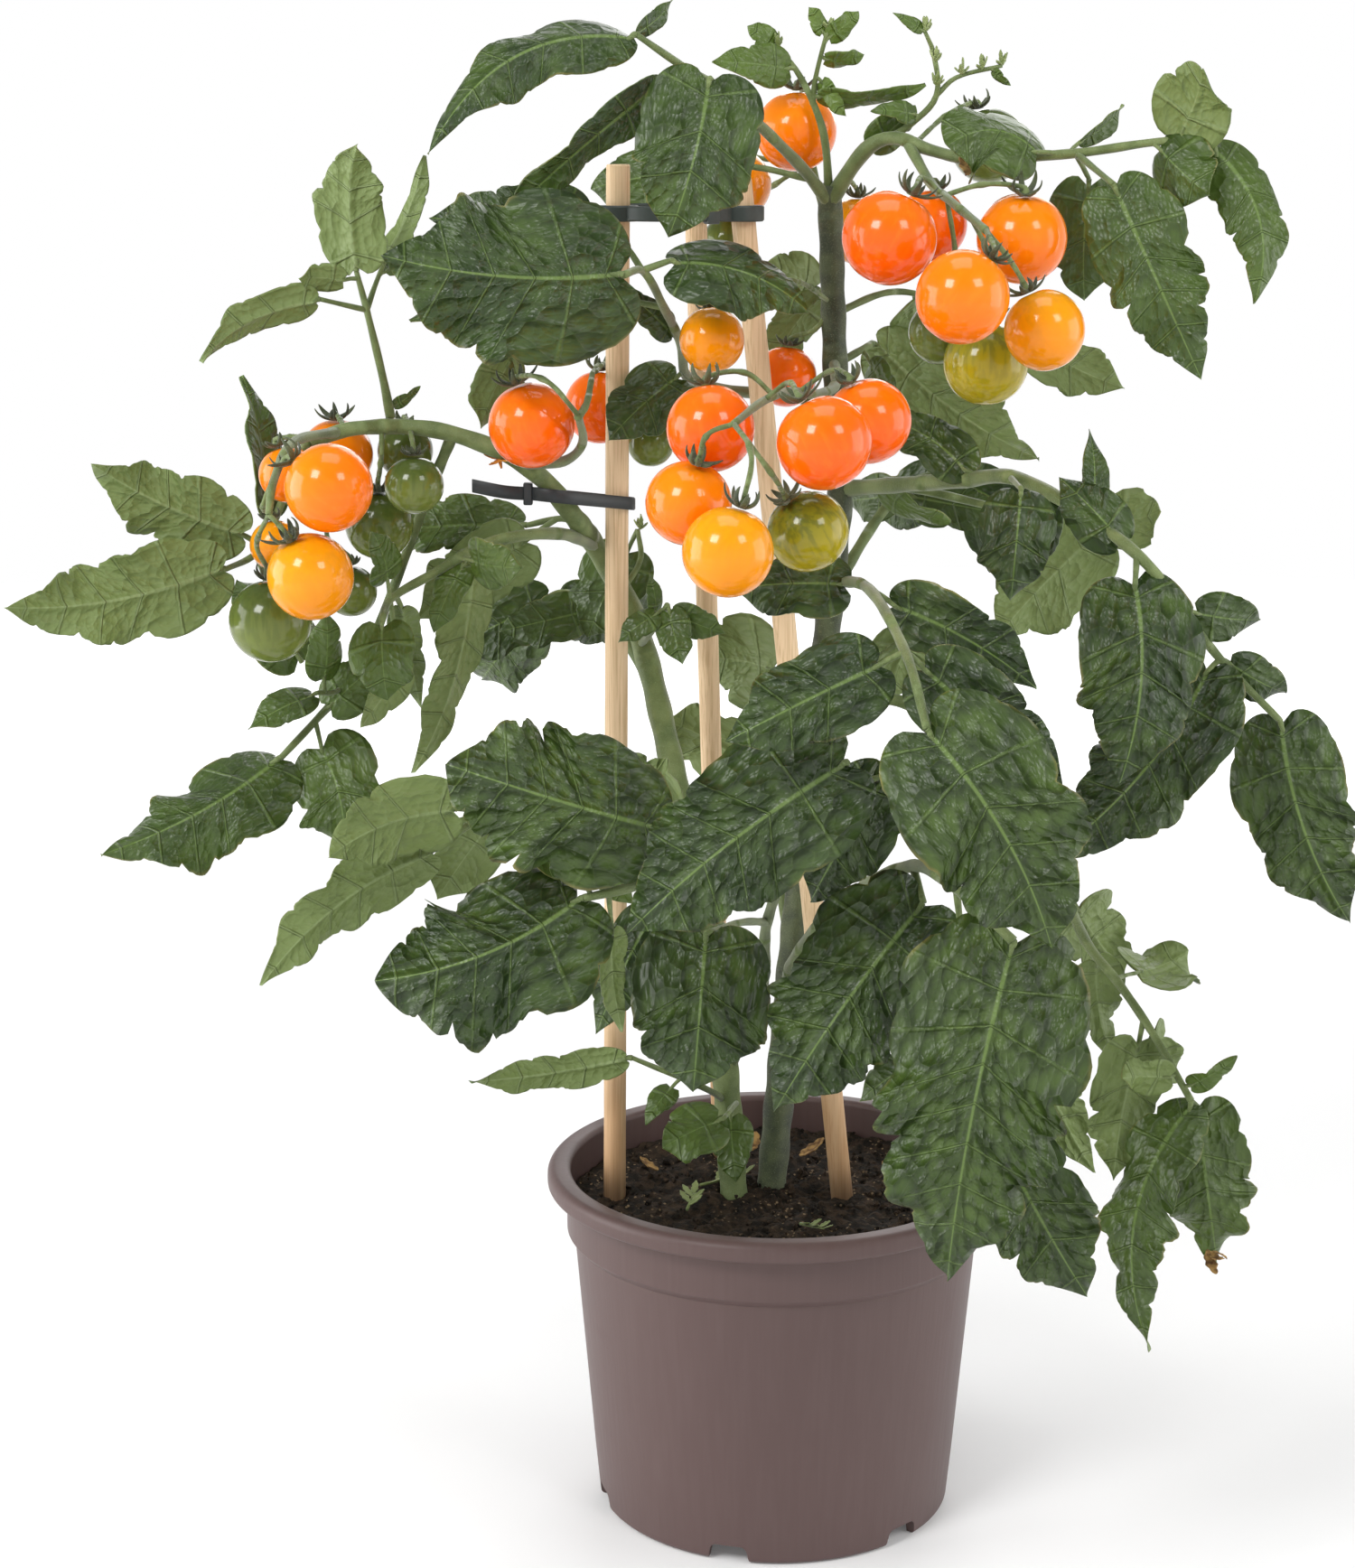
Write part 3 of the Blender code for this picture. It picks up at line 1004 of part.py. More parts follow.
def build_plant() -> None:
    """Every spray of the plan, each fused into one green solid."""
    for name, stalks in PLAN.items():
        body, *rest = stalks
        sides = STEM_SIDES if body in MAIN_STEMS else STALK_SIDES
        trunk = add_object(name, stalk_tube(body, sides), material(name, (0.06, 0.14, 0.05), 0.5))
        pieces = []
        for stalk in rest:
            thin = stalk.thick < THIN_STALK
            pieces.append(add_object("stalk", stalk_tube(stalk, THIN_SIDES if thin else STALK_SIDES)))
        for stalk in stalks:
            for leaf in stalk.leaflets:
                pieces.append(add_object("blade", leaflet_solid(placed(leaf, stalk))))
            for fruit in stalk.fruit:
                pieces.append(add_object("calyx", calyx(stalk, TOMATOES[fruit])))
        fuse(trunk, pieces)
        if body not in MAIN_STEMS:
            for other in MAIN_STEMS:
                cut(trunk, add_object("clearance", stalk_tube(other, STEM_SIDES, GAP + 0.05)))
        keep_body(trunk)


def main() -> None:
    """Clear the scene and build every sub-part."""
    for thing in list(bpy.data.objects):
        bpy.data.objects.remove(thing)
    build_pot()
    build_soil()
    build_canes()
    build_ring()
    build_tie()
    build_tomatoes()
    build_plant()


main()
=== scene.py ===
"""The dressed cherry tomato plant: leaves, fruit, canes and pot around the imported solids.

Places and sizes are in millimetres and directions in degrees, as in the growth plan, and become
metres when a piece is made.  Every piece stands where its solid stands.
"""
import logging
import math
from dataclasses import dataclass, field
from enum import Enum
from functools import cache
from typing import Sequence

import bmesh
import bpy
import numpy as np
from mathutils import Matrix, Vector


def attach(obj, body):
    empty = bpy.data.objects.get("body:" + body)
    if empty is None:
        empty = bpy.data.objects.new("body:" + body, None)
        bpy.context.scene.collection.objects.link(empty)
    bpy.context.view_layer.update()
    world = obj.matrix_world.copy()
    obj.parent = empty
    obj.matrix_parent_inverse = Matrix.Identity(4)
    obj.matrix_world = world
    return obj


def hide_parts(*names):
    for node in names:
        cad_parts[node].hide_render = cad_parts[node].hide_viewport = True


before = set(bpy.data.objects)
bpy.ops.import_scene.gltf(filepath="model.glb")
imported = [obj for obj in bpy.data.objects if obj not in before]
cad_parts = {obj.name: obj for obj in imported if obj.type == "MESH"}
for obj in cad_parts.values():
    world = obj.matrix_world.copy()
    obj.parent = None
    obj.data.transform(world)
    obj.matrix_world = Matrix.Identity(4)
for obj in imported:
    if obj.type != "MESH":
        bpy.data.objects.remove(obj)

MM = 0.001
LOG = logging.getLogger("tomato_plant")
Array = np.ndarray
Mesh = bpy.types.Mesh
Material = bpy.types.Material
Socket = bpy.types.NodeSocket
Form = bmesh.types.BMesh
Point = tuple[float, float, float]
Colour = tuple[float, float, float]
SOIL_LEVEL = 117.0


# -------- small reckoning
def unit(vectors: Array) -> Array:
    """Vectors at length one, along the last axis."""
    return vectors / np.linalg.norm(vectors, axis=-1, keepdims=True)


def scatter(*numbers: float) -> float:
    """A number from 0 to 1 that looks random but is the same each time for the same arguments."""
    mixed = sum(number * step for number, step in zip(numbers, (12.9898, 78.233, 37.719, 4.581)))
    return math.sin(mixed) * 43758.5453 % 1.0


def towards(angle: float, rise: float = 0.0) -> Array:
    """The level way at an angle in radians from +X, with its rise."""
    return np.array((math.cos(angle), math.sin(angle), rise))


def in_scene(name: str, data: bpy.types.ID) -> bpy.types.Object:
    """Put something into the scene.

    Args:
        name: the new object's name.
        data: its mesh, light or camera.

    Returns:
        The object.
    """
    made = bpy.data.objects.new(name, data)
    bpy.context.scene.collection.objects.link(made)
    return made


# -------- shader reckoning
class Value:
    """A shader number that can be reckoned with like a plain one."""

    def __init__(self, box: "Nodes", socket: Socket) -> None:
        """Keep the socket and the tree that its nodes go into."""
        self.box = box
        self.socket = socket

    def _with(self, operation: str, first: object, second: object) -> "Value":
        """The result of a new Math node with two numbers or Values."""
        node = self.box.node("ShaderNodeMath", {"operation": operation}, {0: first, 1: second})
        return Value(self.box, node.outputs[0])

    def __add__(self, other: object) -> "Value":
        """Self plus other."""
        return self._with("ADD", self, other)

    def __radd__(self, other: object) -> "Value":
        """Other plus self."""
        return self._with("ADD", other, self)

    def __sub__(self, other: object) -> "Value":
        """Self minus other."""
        return self._with("SUBTRACT", self, other)

    def __rsub__(self, other: object) -> "Value":
        """Other minus self."""
        return self._with("SUBTRACT", other, self)

    def __mul__(self, other: object) -> "Value":
        """Self times other."""
        return self._with("MULTIPLY", self, other)

    def __rmul__(self, other: object) -> "Value":
        """Other times self."""
        return self._with("MULTIPLY", other, self)

    def __abs__(self) -> "Value":
        """The size of self without its sign."""
        return self._with("ABSOLUTE", self, 0.0)

    def most(self, other: object) -> "Value":
        """The larger of self and other."""
        return self._with("MAXIMUM", self, other)

    def fraction(self) -> "Value":
        """What is left of self after its whole part."""
        return self._with("FRACT", self, 0.0)

    def rise(self, low: float, high: float) -> "Value":
        """Climb smoothly from 0 to 1.

        Args:
            low: where the climb starts.
            high: where it ends.

        Returns:
            The climbing value.
        """
        node = self.box.node("ShaderNodeMapRange", {"interpolation_type": "SMOOTHSTEP"},
                             {0: self, 1: low, 2: high, 3: 0.0, 4: 1.0})
        return Value(self.box, node.outputs[0])


class Nodes:
    """A tree of shader nodes."""

    def __init__(self, tree: bpy.types.NodeTree) -> None:
        """Keep the tree."""
        self.tree = tree

    def node(self, kind: str, settings: dict, inputs: dict) -> bpy.types.Node:
        """Add one node.

        Args:
            kind: the node's type.
            settings: its properties, which are set first.
            inputs: values or links of its sockets, by name or number.

        Returns:
            The node.
        """
        made = self.tree.nodes.new(kind)
        for key, value in settings.items():
            setattr(made, key, value)
        for key, value in inputs.items():
            self.feed(made.inputs[key], value)
        return made

    def feed(self, socket: Socket, value: object) -> None:
        """Link or set one socket.

        Args:
            socket: where the value goes.
            value: a Value, another node's socket, a number or a colour.
        """
        if isinstance(value, Value):
            value = value.socket
        if isinstance(value, Socket):
            self.tree.links.new(value, socket)
        elif socket.type == "RGBA" and len(value) == 3:
            socket.default_value = (*value, 1.0)
        else:
            socket.default_value = value


class Paintbox(Nodes):
    """The nodes of one material, around its Principled shader."""

    def __init__(self, name: str, **constants: float) -> None:
        """Make the material.

        Args:
            name: the material's name.
            constants: the shader's own sockets that are the same all over, with spaces as lines.
        """
        self.material = bpy.data.materials.new(name)
        self.material.use_nodes = True
        super().__init__(self.material.node_tree)
        self.shader = self.tree.nodes["Principled BSDF"]
        for socket, number in constants.items():
            self.shader.inputs[socket.replace("_", " ")].default_value = number

    def place(self) -> Socket:
        """The point of the surface in metres."""
        return self.node("ShaderNodeTexCoord", {}, {}).outputs["Object"]

    def mark(self, name: str) -> Socket:
        """A vector that the mesh carries at its points."""
        return self.node("ShaderNodeAttribute", {"attribute_name": name}, {}).outputs["Vector"]

    def parts(self, vector: Socket) -> tuple[Value, Value, Value]:
        """The three numbers of a vector."""
        split = self.node("ShaderNodeSeparateXYZ", {}, {0: vector})
        return tuple(Value(self, socket) for socket in split.outputs)

    def vector(self, x: object, y: object, z: object) -> Socket:
        """Three numbers as a vector."""
        return self.node("ShaderNodeCombineXYZ", {}, {0: x, 1: y, 2: z}).outputs[0]

    def stretched(self, vector: Socket, scale: Point) -> Socket:
        """A vector scaled along each axis."""
        return self.node("ShaderNodeMapping", {}, {"Vector": vector, "Scale": scale}).outputs[0]

    def noise(self, vector: Socket, scale: float, detail: float = 2.0) -> Value:
        """Soft random patches from 0 to 1, so many in each unit of the vector, with finer layers."""
        made = self.node("ShaderNodeTexNoise", {}, {"Vector": vector, "Scale": scale, "Detail": detail})
        return Value(self, made.outputs[0])

    def cells(self, vector: Socket, scale: float, edges: bool = True) -> Value:
        """A net of cells.

        Args:
            vector: where the net is read.
            scale: cells in each unit of the vector.
            edges: the distance to the net's lines, or else to the cells' middles.

        Returns:
            The distance.
        """
        feature = "DISTANCE_TO_EDGE" if edges else "F1"
        made = self.node("ShaderNodeTexVoronoi", {"feature": feature},
                         {"Vector": vector, "Scale": scale})
        return Value(self, made.outputs["Distance"])

    def mix(self, factor: object, first: object, second: object) -> Socket:
        """Two colours or their sockets blended: 0 gives the first and 1 the second."""
        made = self.node("ShaderNodeMix", {"data_type": "RGBA"}, {0: factor, 6: first, 7: second})
        return made.outputs[2]

    def wear(self, colour: object, roughness: object, height: object = None,
             depth: float = 0.0, strength: float = 0.6) -> Material:
        """Feed the shader and finish the material.

        Args:
            colour: the base colour.
            roughness: the roughness.
            height: the relief, from 0 to 1.
            depth: the relief's depth in metres.
            strength: how much of the relief is felt.

        Returns:
            The material.
        """
        self.feed(self.shader.inputs["Base Color"], colour)
        self.feed(self.shader.inputs["Roughness"], roughness)
        if height is not None:
            bump = self.node("ShaderNodeBump", {}, {"Strength": strength, "Distance": depth,
                                                    "Height": height})
            self.feed(self.shader.inputs["Normal"], bump.outputs[0])
        return self.material


# -------- finishes
@dataclass(frozen=True)
class LeafFinish:
    """A leaf blade: dark upper side, paler underside, a net of pale veins, and painted shade in the
    valleys between the blisters.

    The mark "blade" holds millimetres from the midrib, a count of side veins from the base, and 1
    on the upper side.  The mark "growth" holds how fresh the leaf is, the side veins' pitch and how
    quilted it is.  The mark "rib" holds how slender the midrib is and the share of the way from it
    to the edge.
    """

    deep: Colour = (0.020, 0.042, 0.007)
    green: Colour = (0.048, 0.085, 0.013)
    fresh: Colour = (0.110, 0.175, 0.026)
    vein: Colour = (0.130, 0.200, 0.050)
    # painted shade laid into the valleys between the blisters
    valley_shade: Colour = (0.007, 0.017, 0.003)
    under_vein: Colour = (0.250, 0.320, 0.140)
    dry: Colour = (0.300, 0.250, 0.080)
    underside: Colour = (0.150, 0.205, 0.060)
    midrib_width: float = 1.2
    side_vein_width: float = 0.6
    net_scale: float = 0.22
    fine_net: float = 2.3
    relief_depth: float = 0.0022

    def made(self) -> Material:
        """Make the material.

        Returns:
            The material.
        """
        box = Paintbox("leaf", Specular_IOR_Level=0.42)
        across, ribs, upper = box.parts(box.mark("blade"))
        freshness, pitch, quilt = box.parts(box.mark("growth"))
        slender, edge, _ = box.parts(box.mark("rib"))
        away = abs(across)
        main = 1.0 - (away * slender).rise(0.25 * self.midrib_width, self.midrib_width)
        from_rib = abs(ribs.fraction() - 0.5) * pitch
        side = (1.0 - from_rib.rise(0.1, self.side_vein_width)) * (1.0 - away.rise(6.0, 30.0) * 0.6)
        flat = box.vector(across, ribs * pitch, 0.0)
        near = box.cells(flat, self.net_scale, edges=False)
        fine = box.cells(flat, self.net_scale * self.fine_net, edges=False)
        lines = 1.0 - box.cells(flat, self.net_scale).rise(0.01, 0.09)
        patches = box.noise(box.place(), 60.0, 3.0)
        veins = main.most(side * 0.62).most(lines * 0.12)
        top = box.mix(patches.rise(0.35, 0.7), self.deep, self.green)
        top = box.mix(freshness, top, self.fresh)
        # painted shade: the blade darkens towards the cells' edges, in the valleys between the blisters
        top = box.mix(near.rise(0.34, 0.72) * 0.5 * quilt, top, self.valley_shade)
        top = box.mix(veins * 0.85, top, self.vein)
        top = box.mix(edge.rise(0.955, 1.0) * patches.rise(0.45, 0.7) * 0.6, top, self.dry)
        below = box.mix(veins * 0.6, self.underside, self.under_vein)
        colour = box.mix(upper, below, top)
        roughness = 0.46 - upper * 0.13 + patches * 0.08
        blisters = (1.0 - near * near * 1.6) * quilt * away.rise(0.2, 3.0)
        relief = blisters - side * 0.3 - fine * fine * 0.22
        return box.wear(colour, roughness, relief, self.relief_depth, 1.0)


@dataclass(frozen=True)
class StalkFinish:
    """A green stem or stalk with fine streaks and a downy surface."""

    name: str = "stalk"
    shade: Colour = (0.085, 0.125, 0.030)
    light: Colour = (0.165, 0.215, 0.070)
    down: Colour = (0.300, 0.360, 0.200)
    patch_scale: float = 130.0
    down_scale: float = 2600.0

    def made(self) -> Material:
        """Make the material.

        Returns:
            The material.
        """
        box = Paintbox(self.name, Sheen_Weight=0.25, Sheen_Roughness=0.4)
        patches = box.noise(box.place(), self.patch_scale, 3.0)
        down = box.noise(box.place(), self.down_scale)
        colour = box.mix(patches.rise(0.3, 0.7), self.shade, self.light)
        colour = box.mix(down.rise(0.55, 0.75) * 0.35, colour, self.down)
        return box.wear(colour, 0.52 + patches * 0.1, down, 0.0004)


class Ripeness(Enum):
    """How ripe a tomato is: colour of its tip, colour round its calyx, and how striped it is."""

    RED = ((0.90, 0.110, 0.001), (0.90, 0.150, 0.002), 0.0)
    ORANGE = ((0.90, 0.175, 0.001), (0.88, 0.220, 0.002), 0.0)
    AMBER = ((0.84, 0.270, 0.002), (0.78, 0.310, 0.004), 0.10)
    TURNING = ((0.38, 0.300, 0.010), (0.160, 0.175, 0.014), 0.55)
    GREEN = ((0.145, 0.180, 0.035), (0.062, 0.090, 0.018), 0.7)


@dataclass(frozen=True)
class SkinFinish:
    """A tomato's glossy skin.  The mark "skin" holds the way from its middle, calyx upwards."""

    ripeness: Ripeness
    stripe: Colour = (0.055, 0.080, 0.015)
    blush: Colour = (0.850, 0.330, 0.020)
    streak: Point = (5.0, 5.0, 0.7)
    pore_scale: float = 1500.0

    def made(self) -> Material:
        """Make the material.

        Returns:
            The material.
        """
        tip, shoulder, striped = self.ripeness.value
        box = Paintbox(f"skin_{self.ripeness.name.lower()}", Coat_Weight=0.45, Coat_Roughness=0.08,
                       Specular_IOR_Level=0.15, Subsurface_Weight=0.03, Subsurface_Scale=0.003)
        way = box.mark("skin")
        _, _, height = box.parts(way)
        streaks = box.noise(box.stretched(way, self.streak), 1.6, 3.0)
        colour = box.mix(height.rise(-0.5, 0.95), tip, shoulder)
        if striped:
            strength = striped * (height.rise(-0.6, 0.7) * 0.6 + 0.25)
            colour = box.mix(streaks.rise(0.42, 0.62) * strength, colour, self.stripe)
        else:
            colour = box.mix(streaks.rise(0.45, 0.75) * 0.12, colour, self.blush)
        pores = box.noise(box.place(), self.pore_scale, 1.0)
        return box.wear(colour, 0.16 + streaks * 0.08, pores, 0.00008, 0.15)


@dataclass(frozen=True)
class BambooFinish:
    """Pale cane with fine grain along it, stained where it stands in the soil."""

    pale: Colour = (0.760, 0.560, 0.350)
    grain: Colour = (0.500, 0.330, 0.170)
    damp: Colour = (0.440, 0.230, 0.095)
    stain: Colour = (0.090, 0.050, 0.026)
    fibres: Point = (1500.0, 1500.0, 16.0)
    clouds: Point = (260.0, 260.0, 7.0)
    soil_line: float = SOIL_LEVEL * MM
    stain_height: float = 0.018
    damp_heights: tuple[float, float] = (0.015, 0.11)

    def made(self) -> Material:
        """Make the material.

        Returns:
            The material.
        """
        box = Paintbox("bamboo", Specular_IOR_Level=0.4)
        fibre = box.noise(box.stretched(box.place(), self.fibres), 1.0, 3.0)
        broad = box.noise(box.stretched(box.place(), self.clouds), 1.0)
        _, _, height = box.parts(box.place())
        colour = box.mix(fibre.rise(0.42, 0.72) * 0.75, self.pale, self.grain)
        colour = box.mix(broad.rise(0.5, 0.8) * 0.45, colour, self.grain)
        start, end = (self.soil_line + above for above in self.damp_heights)
        damp = 1.0 - height.rise(start, end)
        colour = box.mix(damp * (broad * 0.6 + 0.35), colour, self.damp)
        low = 1.0 - height.rise(self.soil_line, self.soil_line + self.stain_height)
        colour = box.mix(low * (broad * 0.8 + 0.3), colour, self.stain)
        return box.wear(colour, 0.5 + fibre * 0.2, fibre, 0.0003)


@dataclass(frozen=True)
class PotFinish:
    """Matt grey-brown moulded plastic with fine upright streaks and faint scuffs."""

    dull: Colour = (0.100, 0.062, 0.058)
    pale: Colour = (0.140, 0.096, 0.090)
    streak: Point = (420.0, 420.0, 6.0)
    scuff_scale: float = 34.0
    grain_scale: float = 2400.0

    def made(self) -> Material:
        """Make the material.

        Returns:
            The material.
        """
        box = Paintbox("pot_plastic", Specular_IOR_Level=0.38)
        streaks = box.noise(box.stretched(box.place(), self.streak), 1.0, 3.0)
        scuffs = box.noise(box.place(), self.scuff_scale, 6.0)
        paler = streaks.rise(0.3, 0.8) * 0.2 + scuffs.rise(0.62, 0.85) * 0.3
        roughness = 0.40 + streaks * 0.12 + scuffs.rise(0.55, 0.8) * 0.12
        relief = streaks + box.noise(box.place(), self.grain_scale) * 0.3
        return box.wear(box.mix(paler, self.dull, self.pale), roughness, relief, 0.0002, 0.4)


@dataclass(frozen=True)
class PeatFinish:
    """Dark crumbly potting soil with fibres and paler specks."""

    dark: Colour = (0.012, 0.009, 0.006)
    brown: Colour = (0.055, 0.036, 0.022)
    speck: Colour = (0.340, 0.240, 0.140)
    clod_scale: float = 260.0
    speck_scale: float = 420.0
    patch_scale: float = 42.0
    grain_scale: float = 1500.0

    def made(self) -> Material:
        """Make the material.

        Returns:
            The material.
        """
        box = Paintbox("peat", Specular_IOR_Level=0.25)
        clods = box.noise(box.place(), self.clod_scale, 5.0)
        bits = box.cells(box.place(), self.speck_scale, edges=False)
        colour = box.mix(clods.rise(0.38, 0.68), self.dark, self.brown)
        patches = box.noise(box.place(), self.patch_scale).rise(0.42, 0.62)
        colour = box.mix((1.0 - bits.rise(0.14, 0.27)) * patches * 0.8, colour, self.speck)
        relief = clods + box.noise(box.place(), self.grain_scale, 3.0) * 0.5
        return box.wear(colour, 0.92, relief, 0.0022, 0.9)


@dataclass(frozen=True)
class PlasticFinish:
    """Plain moulded plastic of one colour with a fine grain."""

    name: str
    colour: Colour
    roughness: float
    grain_scale: float = 1800.0
    patch_scale: float = 90.0

    def made(self) -> Material:
        """Make the material.

        Returns:
            The material.
        """
        box = Paintbox(self.name, Specular_IOR_Level=0.5)
        grain = box.noise(box.place(), self.grain_scale)
        patches = box.noise(box.place(), self.patch_scale, 3.0)
        paler = tuple(channel * 1.7 + 0.01 for channel in self.colour)
        colour = box.mix(patches.rise(0.45, 0.75) * 0.6, self.colour, paler)
        return box.wear(colour, self.roughness + grain * 0.15, grain, 0.0001, 0.4)


@dataclass(frozen=True)
class DryFinish:
    """Withered plant matter, from straw to brown."""

    name: str
    light: Colour
    dark: Colour
    patch_scale: float = 420.0

    def made(self) -> Material:
        """Make the material.

        Returns:
            The material.
        """
        box = Paintbox(self.name, Specular_IOR_Level=0.3)
        patches = box.noise(box.place(), self.patch_scale, 4.0)
        colour = box.mix(patches.rise(0.35, 0.65), self.light, self.dark)
        return box.wear(colour, 0.8, patches, 0.0004)


@dataclass(frozen=True)
class FloorFinish:
    """The pale floor under the plant, which glows faintly far out so that no horizon shows."""

    colour: Colour = (0.86, 0.86, 0.86)
    worn: Colour = (0.80, 0.80, 0.80)
    near_glow: Colour = (0.08, 0.08, 0.08)
    far_glow: Colour = (0.68, 0.68, 0.68)

    def made(self) -> Material:
        """Make the material.

        Returns:
            The material.
        """
        box = Paintbox("floor", Specular_IOR_Level=0.2, Emission_Strength=1.0)
        x, y, _ = box.parts(box.place())
        far = (x * x + y * y).rise(0.3, 3.2)
        box.feed(box.shader.inputs["Emission Color"], box.mix(far, self.near_glow, self.far_glow))
        return box.wear(box.mix(box.noise(box.place(), 2.0) * 0.04, self.colour, self.worn), 0.7)


# -------- the growth plan
LIGHT = (-36.0, -1054.0, 510.0)  # the window that the leaves turn their upper faces to


@dataclass(frozen=True)
class Cane:
    """A straight bamboo cane through two points of its axis, cut off at a height."""

    low: Point
    high: Point
    top: float
    radius: float = 4.1
    bevel: float = 0.0  # slant of the cut across the cane

    def at(self, z: float) -> Array:
        """Point of the cane's axis at a height."""
        low, high = np.array(self.low), np.array(self.high)
        return low + (high - low) * (z - low[2]) / (high[2] - low[2])


CANES = {
    "cane_left": Cane((-60, -2, 117), (-57, -12, 478), 495.0),
    "cane_right": Cane((25, -2, 117), (-14, -12, 478), 488.5, bevel=2.5),
    "cane_back": Cane((-19, 45, 117), (-30, 24, 478), 484.0, 3.9),
}


@dataclass(frozen=True)
class Leaflet:
    """A thin leaf blade with a heart-shaped base and scalloped edges.

    at is the share of its stalk's length where it leaves.  heading is the way it points seen
    from the window, in degrees clockwise from straight up, and lean how far it points towards
    the window.  roll turns the face about the midrib from facing the window.  stem is the length
    of its own short stalk.  arch and swing bow the midrib out of and along the blade, and fold
    lifts the halves, all as shares.  fall sets how soon the blade narrows.
    """

    at: float
    heading: float
    lean: float
    length: float
    width: float
    roll: float = 0.0
    stem: float = 3.0
    arch: float = 0.08
    swing: float = 0.0
    fold: float = 0.1
    fall: float = 0.8


@dataclass(frozen=True)
class Stalk:
    """A tapered green stalk through a few points, with the leaflets and fruit that it carries."""

    path: list[Point]
    thick: float
    thin: float
    leaflets: list[Leaflet] = field(default_factory=list)
    fruit: list[str] = field(default_factory=list)


@dataclass(frozen=True)
class Tomato:
    """A cherry tomato: centre, radius, how ripe it is, where its calyx faces, its pedicel's way."""

    centre: Point
    radius: float
    ripeness: str
    up: Point = (0.0, 0.0, 1.0)
    via: list[Point] = field(default_factory=list)


STEM_LEFT = Stalk(
    [(-15, 4, 108), (-20, 0, 178), (-27, -4, 231), (-38, -8, 282), (-52, 8, 334), (-66, 3, 361),
     (-73, -26, 376), (-83, -36, 390), (-97, -41, 400), (-120, -47, 408), (-145, -55, 409),
     (-159, -60, 405)], 5.2, 2.2,
    fruit=["tomato_e4", "tomato_e7", "tomato_e8", "tomato_e9", "tomato_e10"])
STEM_RIGHT = Stalk(
    [(-2, 10, 108), (5, 15, 190), (10, 15, 243), (15, 10, 295), (20, 5, 362), (21, 0, 382),
     (19, 6, 427), (16, -5, 488)], 5.6, 4.2)
MAIN_STEMS = (STEM_LEFT, STEM_RIGHT)

TOMATOES = {
    "tomato_a1": Tomato((5, 12, 506), 14.2, "orange", via=[(8, 34, 520)]),
    "tomato_a2": Tomato((-15, 42, 487), 12.4, "amber", (-0.2, 0.3, 1), [(-3, 54, 496)]),
    "tomato_a3": Tomato((-18, 54, 466), 9.6, "green", (0, 0.2, 1), [(-8, 66, 482)]),
    "tomato_b1": Tomato((33, -62, 472), 15.7, "red", (0.5, 0, 1), [(45, -50, 491)]),
    "tomato_b2": Tomato((50, -22, 475), 12.3, "red", (0.1, -0.2, 1)),
    "tomato_b3": Tomato((79, -40, 471), 15.2, "orange", (0, -0.3, 1), [(65, -48, 489)]),
    "tomato_b4": Tomato((54, -98, 455), 14.9, "orange", (0.6, 0.1, 0.8)),
    "tomato_b5": Tomato((83, -76, 443), 13.2, "amber", (-0.4, 0.1, 0.9), [(71, -74, 466)]),
    "tomato_b6": Tomato((67, -48, 430), 14.3, "turning", (0, 0.1, 1), [(69, -58, 460)]),
    "tomato_b7": Tomato((53, -30, 439), 10.8, "green", (0, -0.2, 1), [(56, -48, 464)]),
    "tomato_b8": Tomato((28, 32, 471), 11.7, "amber", via=[(22, 18, 488)]),
    "tomato_b9": Tomato((74, 25, 501), 13.5, "green", (-0.3, 0, 1), [(56, 2, 511)]),
    "tomato_c1": Tomato((-26, -105, 414), 14.1, "red", (-0.1, 0.3, 1), [(-15, -97, 431)]),
    "tomato_c2": Tomato((-33, -120, 392), 13.7, "orange", (0.2, -0.3, 0.9), [(-27, -132, 415)]),
    "tomato_c3": Tomato((-21, -144, 380), 14.2, "amber", (0.3, 0, 1), [(-14, -147, 410)]),
    "tomato_c4": Tomato((9, -130, 412), 14.9, "red", (-0.5, 0.1, 0.9), [(-2, -112, 429)]),
    "tomato_c5": Tomato((25, -92, 415), 14.0, "red", (-0.4, -0.1, 0.9), [(13, -80, 430)]),
    "tomato_c6": Tomato((5, -112, 382), 13.2, "turning", (-0.5, -0.3, 0.8), [(-8, -136, 404)]),
    "tomato_c7": Tomato((-25, -50, 438), 10.9, "amber", (0, 0.5, 0.9), [(2, -20, 456)]),
    "tomato_c8": Tomato((2, 8, 421), 10.9, "red", (0.1, 0, 1), [(12, 3, 438)]),
    "tomato_c9": Tomato((-46, 0, 398), 8.3, "green", (0.1, 0.2, 1), [(-57, 18, 423)]),
    "tomato_d1": Tomato((-85, -64, 411), 14.4, "red", (-0.3, -0.1, 0.9), [(-79, -82, 427)]),
    "tomato_d2": Tomato((-64, 10, 410), 12.9, "red"),
    "tomato_e1": Tomato((-148, -105, 395), 14.2, "orange", (-0.8, 0.2, 0.6)),
    "tomato_e2": Tomato((-155, -102, 366), 14.0, "amber", (-0.4, -0.3, 0.9)),
    "tomato_e3": Tomato((-172, -75, 347), 13.9, "green", via=[(-174, -88, 374)]),
    "tomato_e4": Tomato((-153, -36, 398), 12.4, "orange", (0, -0.2, 1)),
    "tomato_e5": Tomato((-166, -67, 395), 9.6, "orange", (-0.3, 0, 0.9)),
    "tomato_e6": Tomato((-172, -58, 370), 8.6, "amber", (-0.1, 0, 1), [(-172, -84, 387)]),
    "tomato_e7": Tomato((-130, -32, 399), 9.6, "green", (0, -0.2, 1)),
    "tomato_e8": Tomato((-125, -56, 390), 10.0, "green"),
    "tomato_e9": Tomato((-139, -36, 374), 11.8, "green", (0, -0.2, 1), [(-136, -54, 400)]),
    "tomato_e10": Tomato((-150, -30, 350), 9.1, "green", via=[(-150, -58, 388), (-156, -46, 372)]),
}


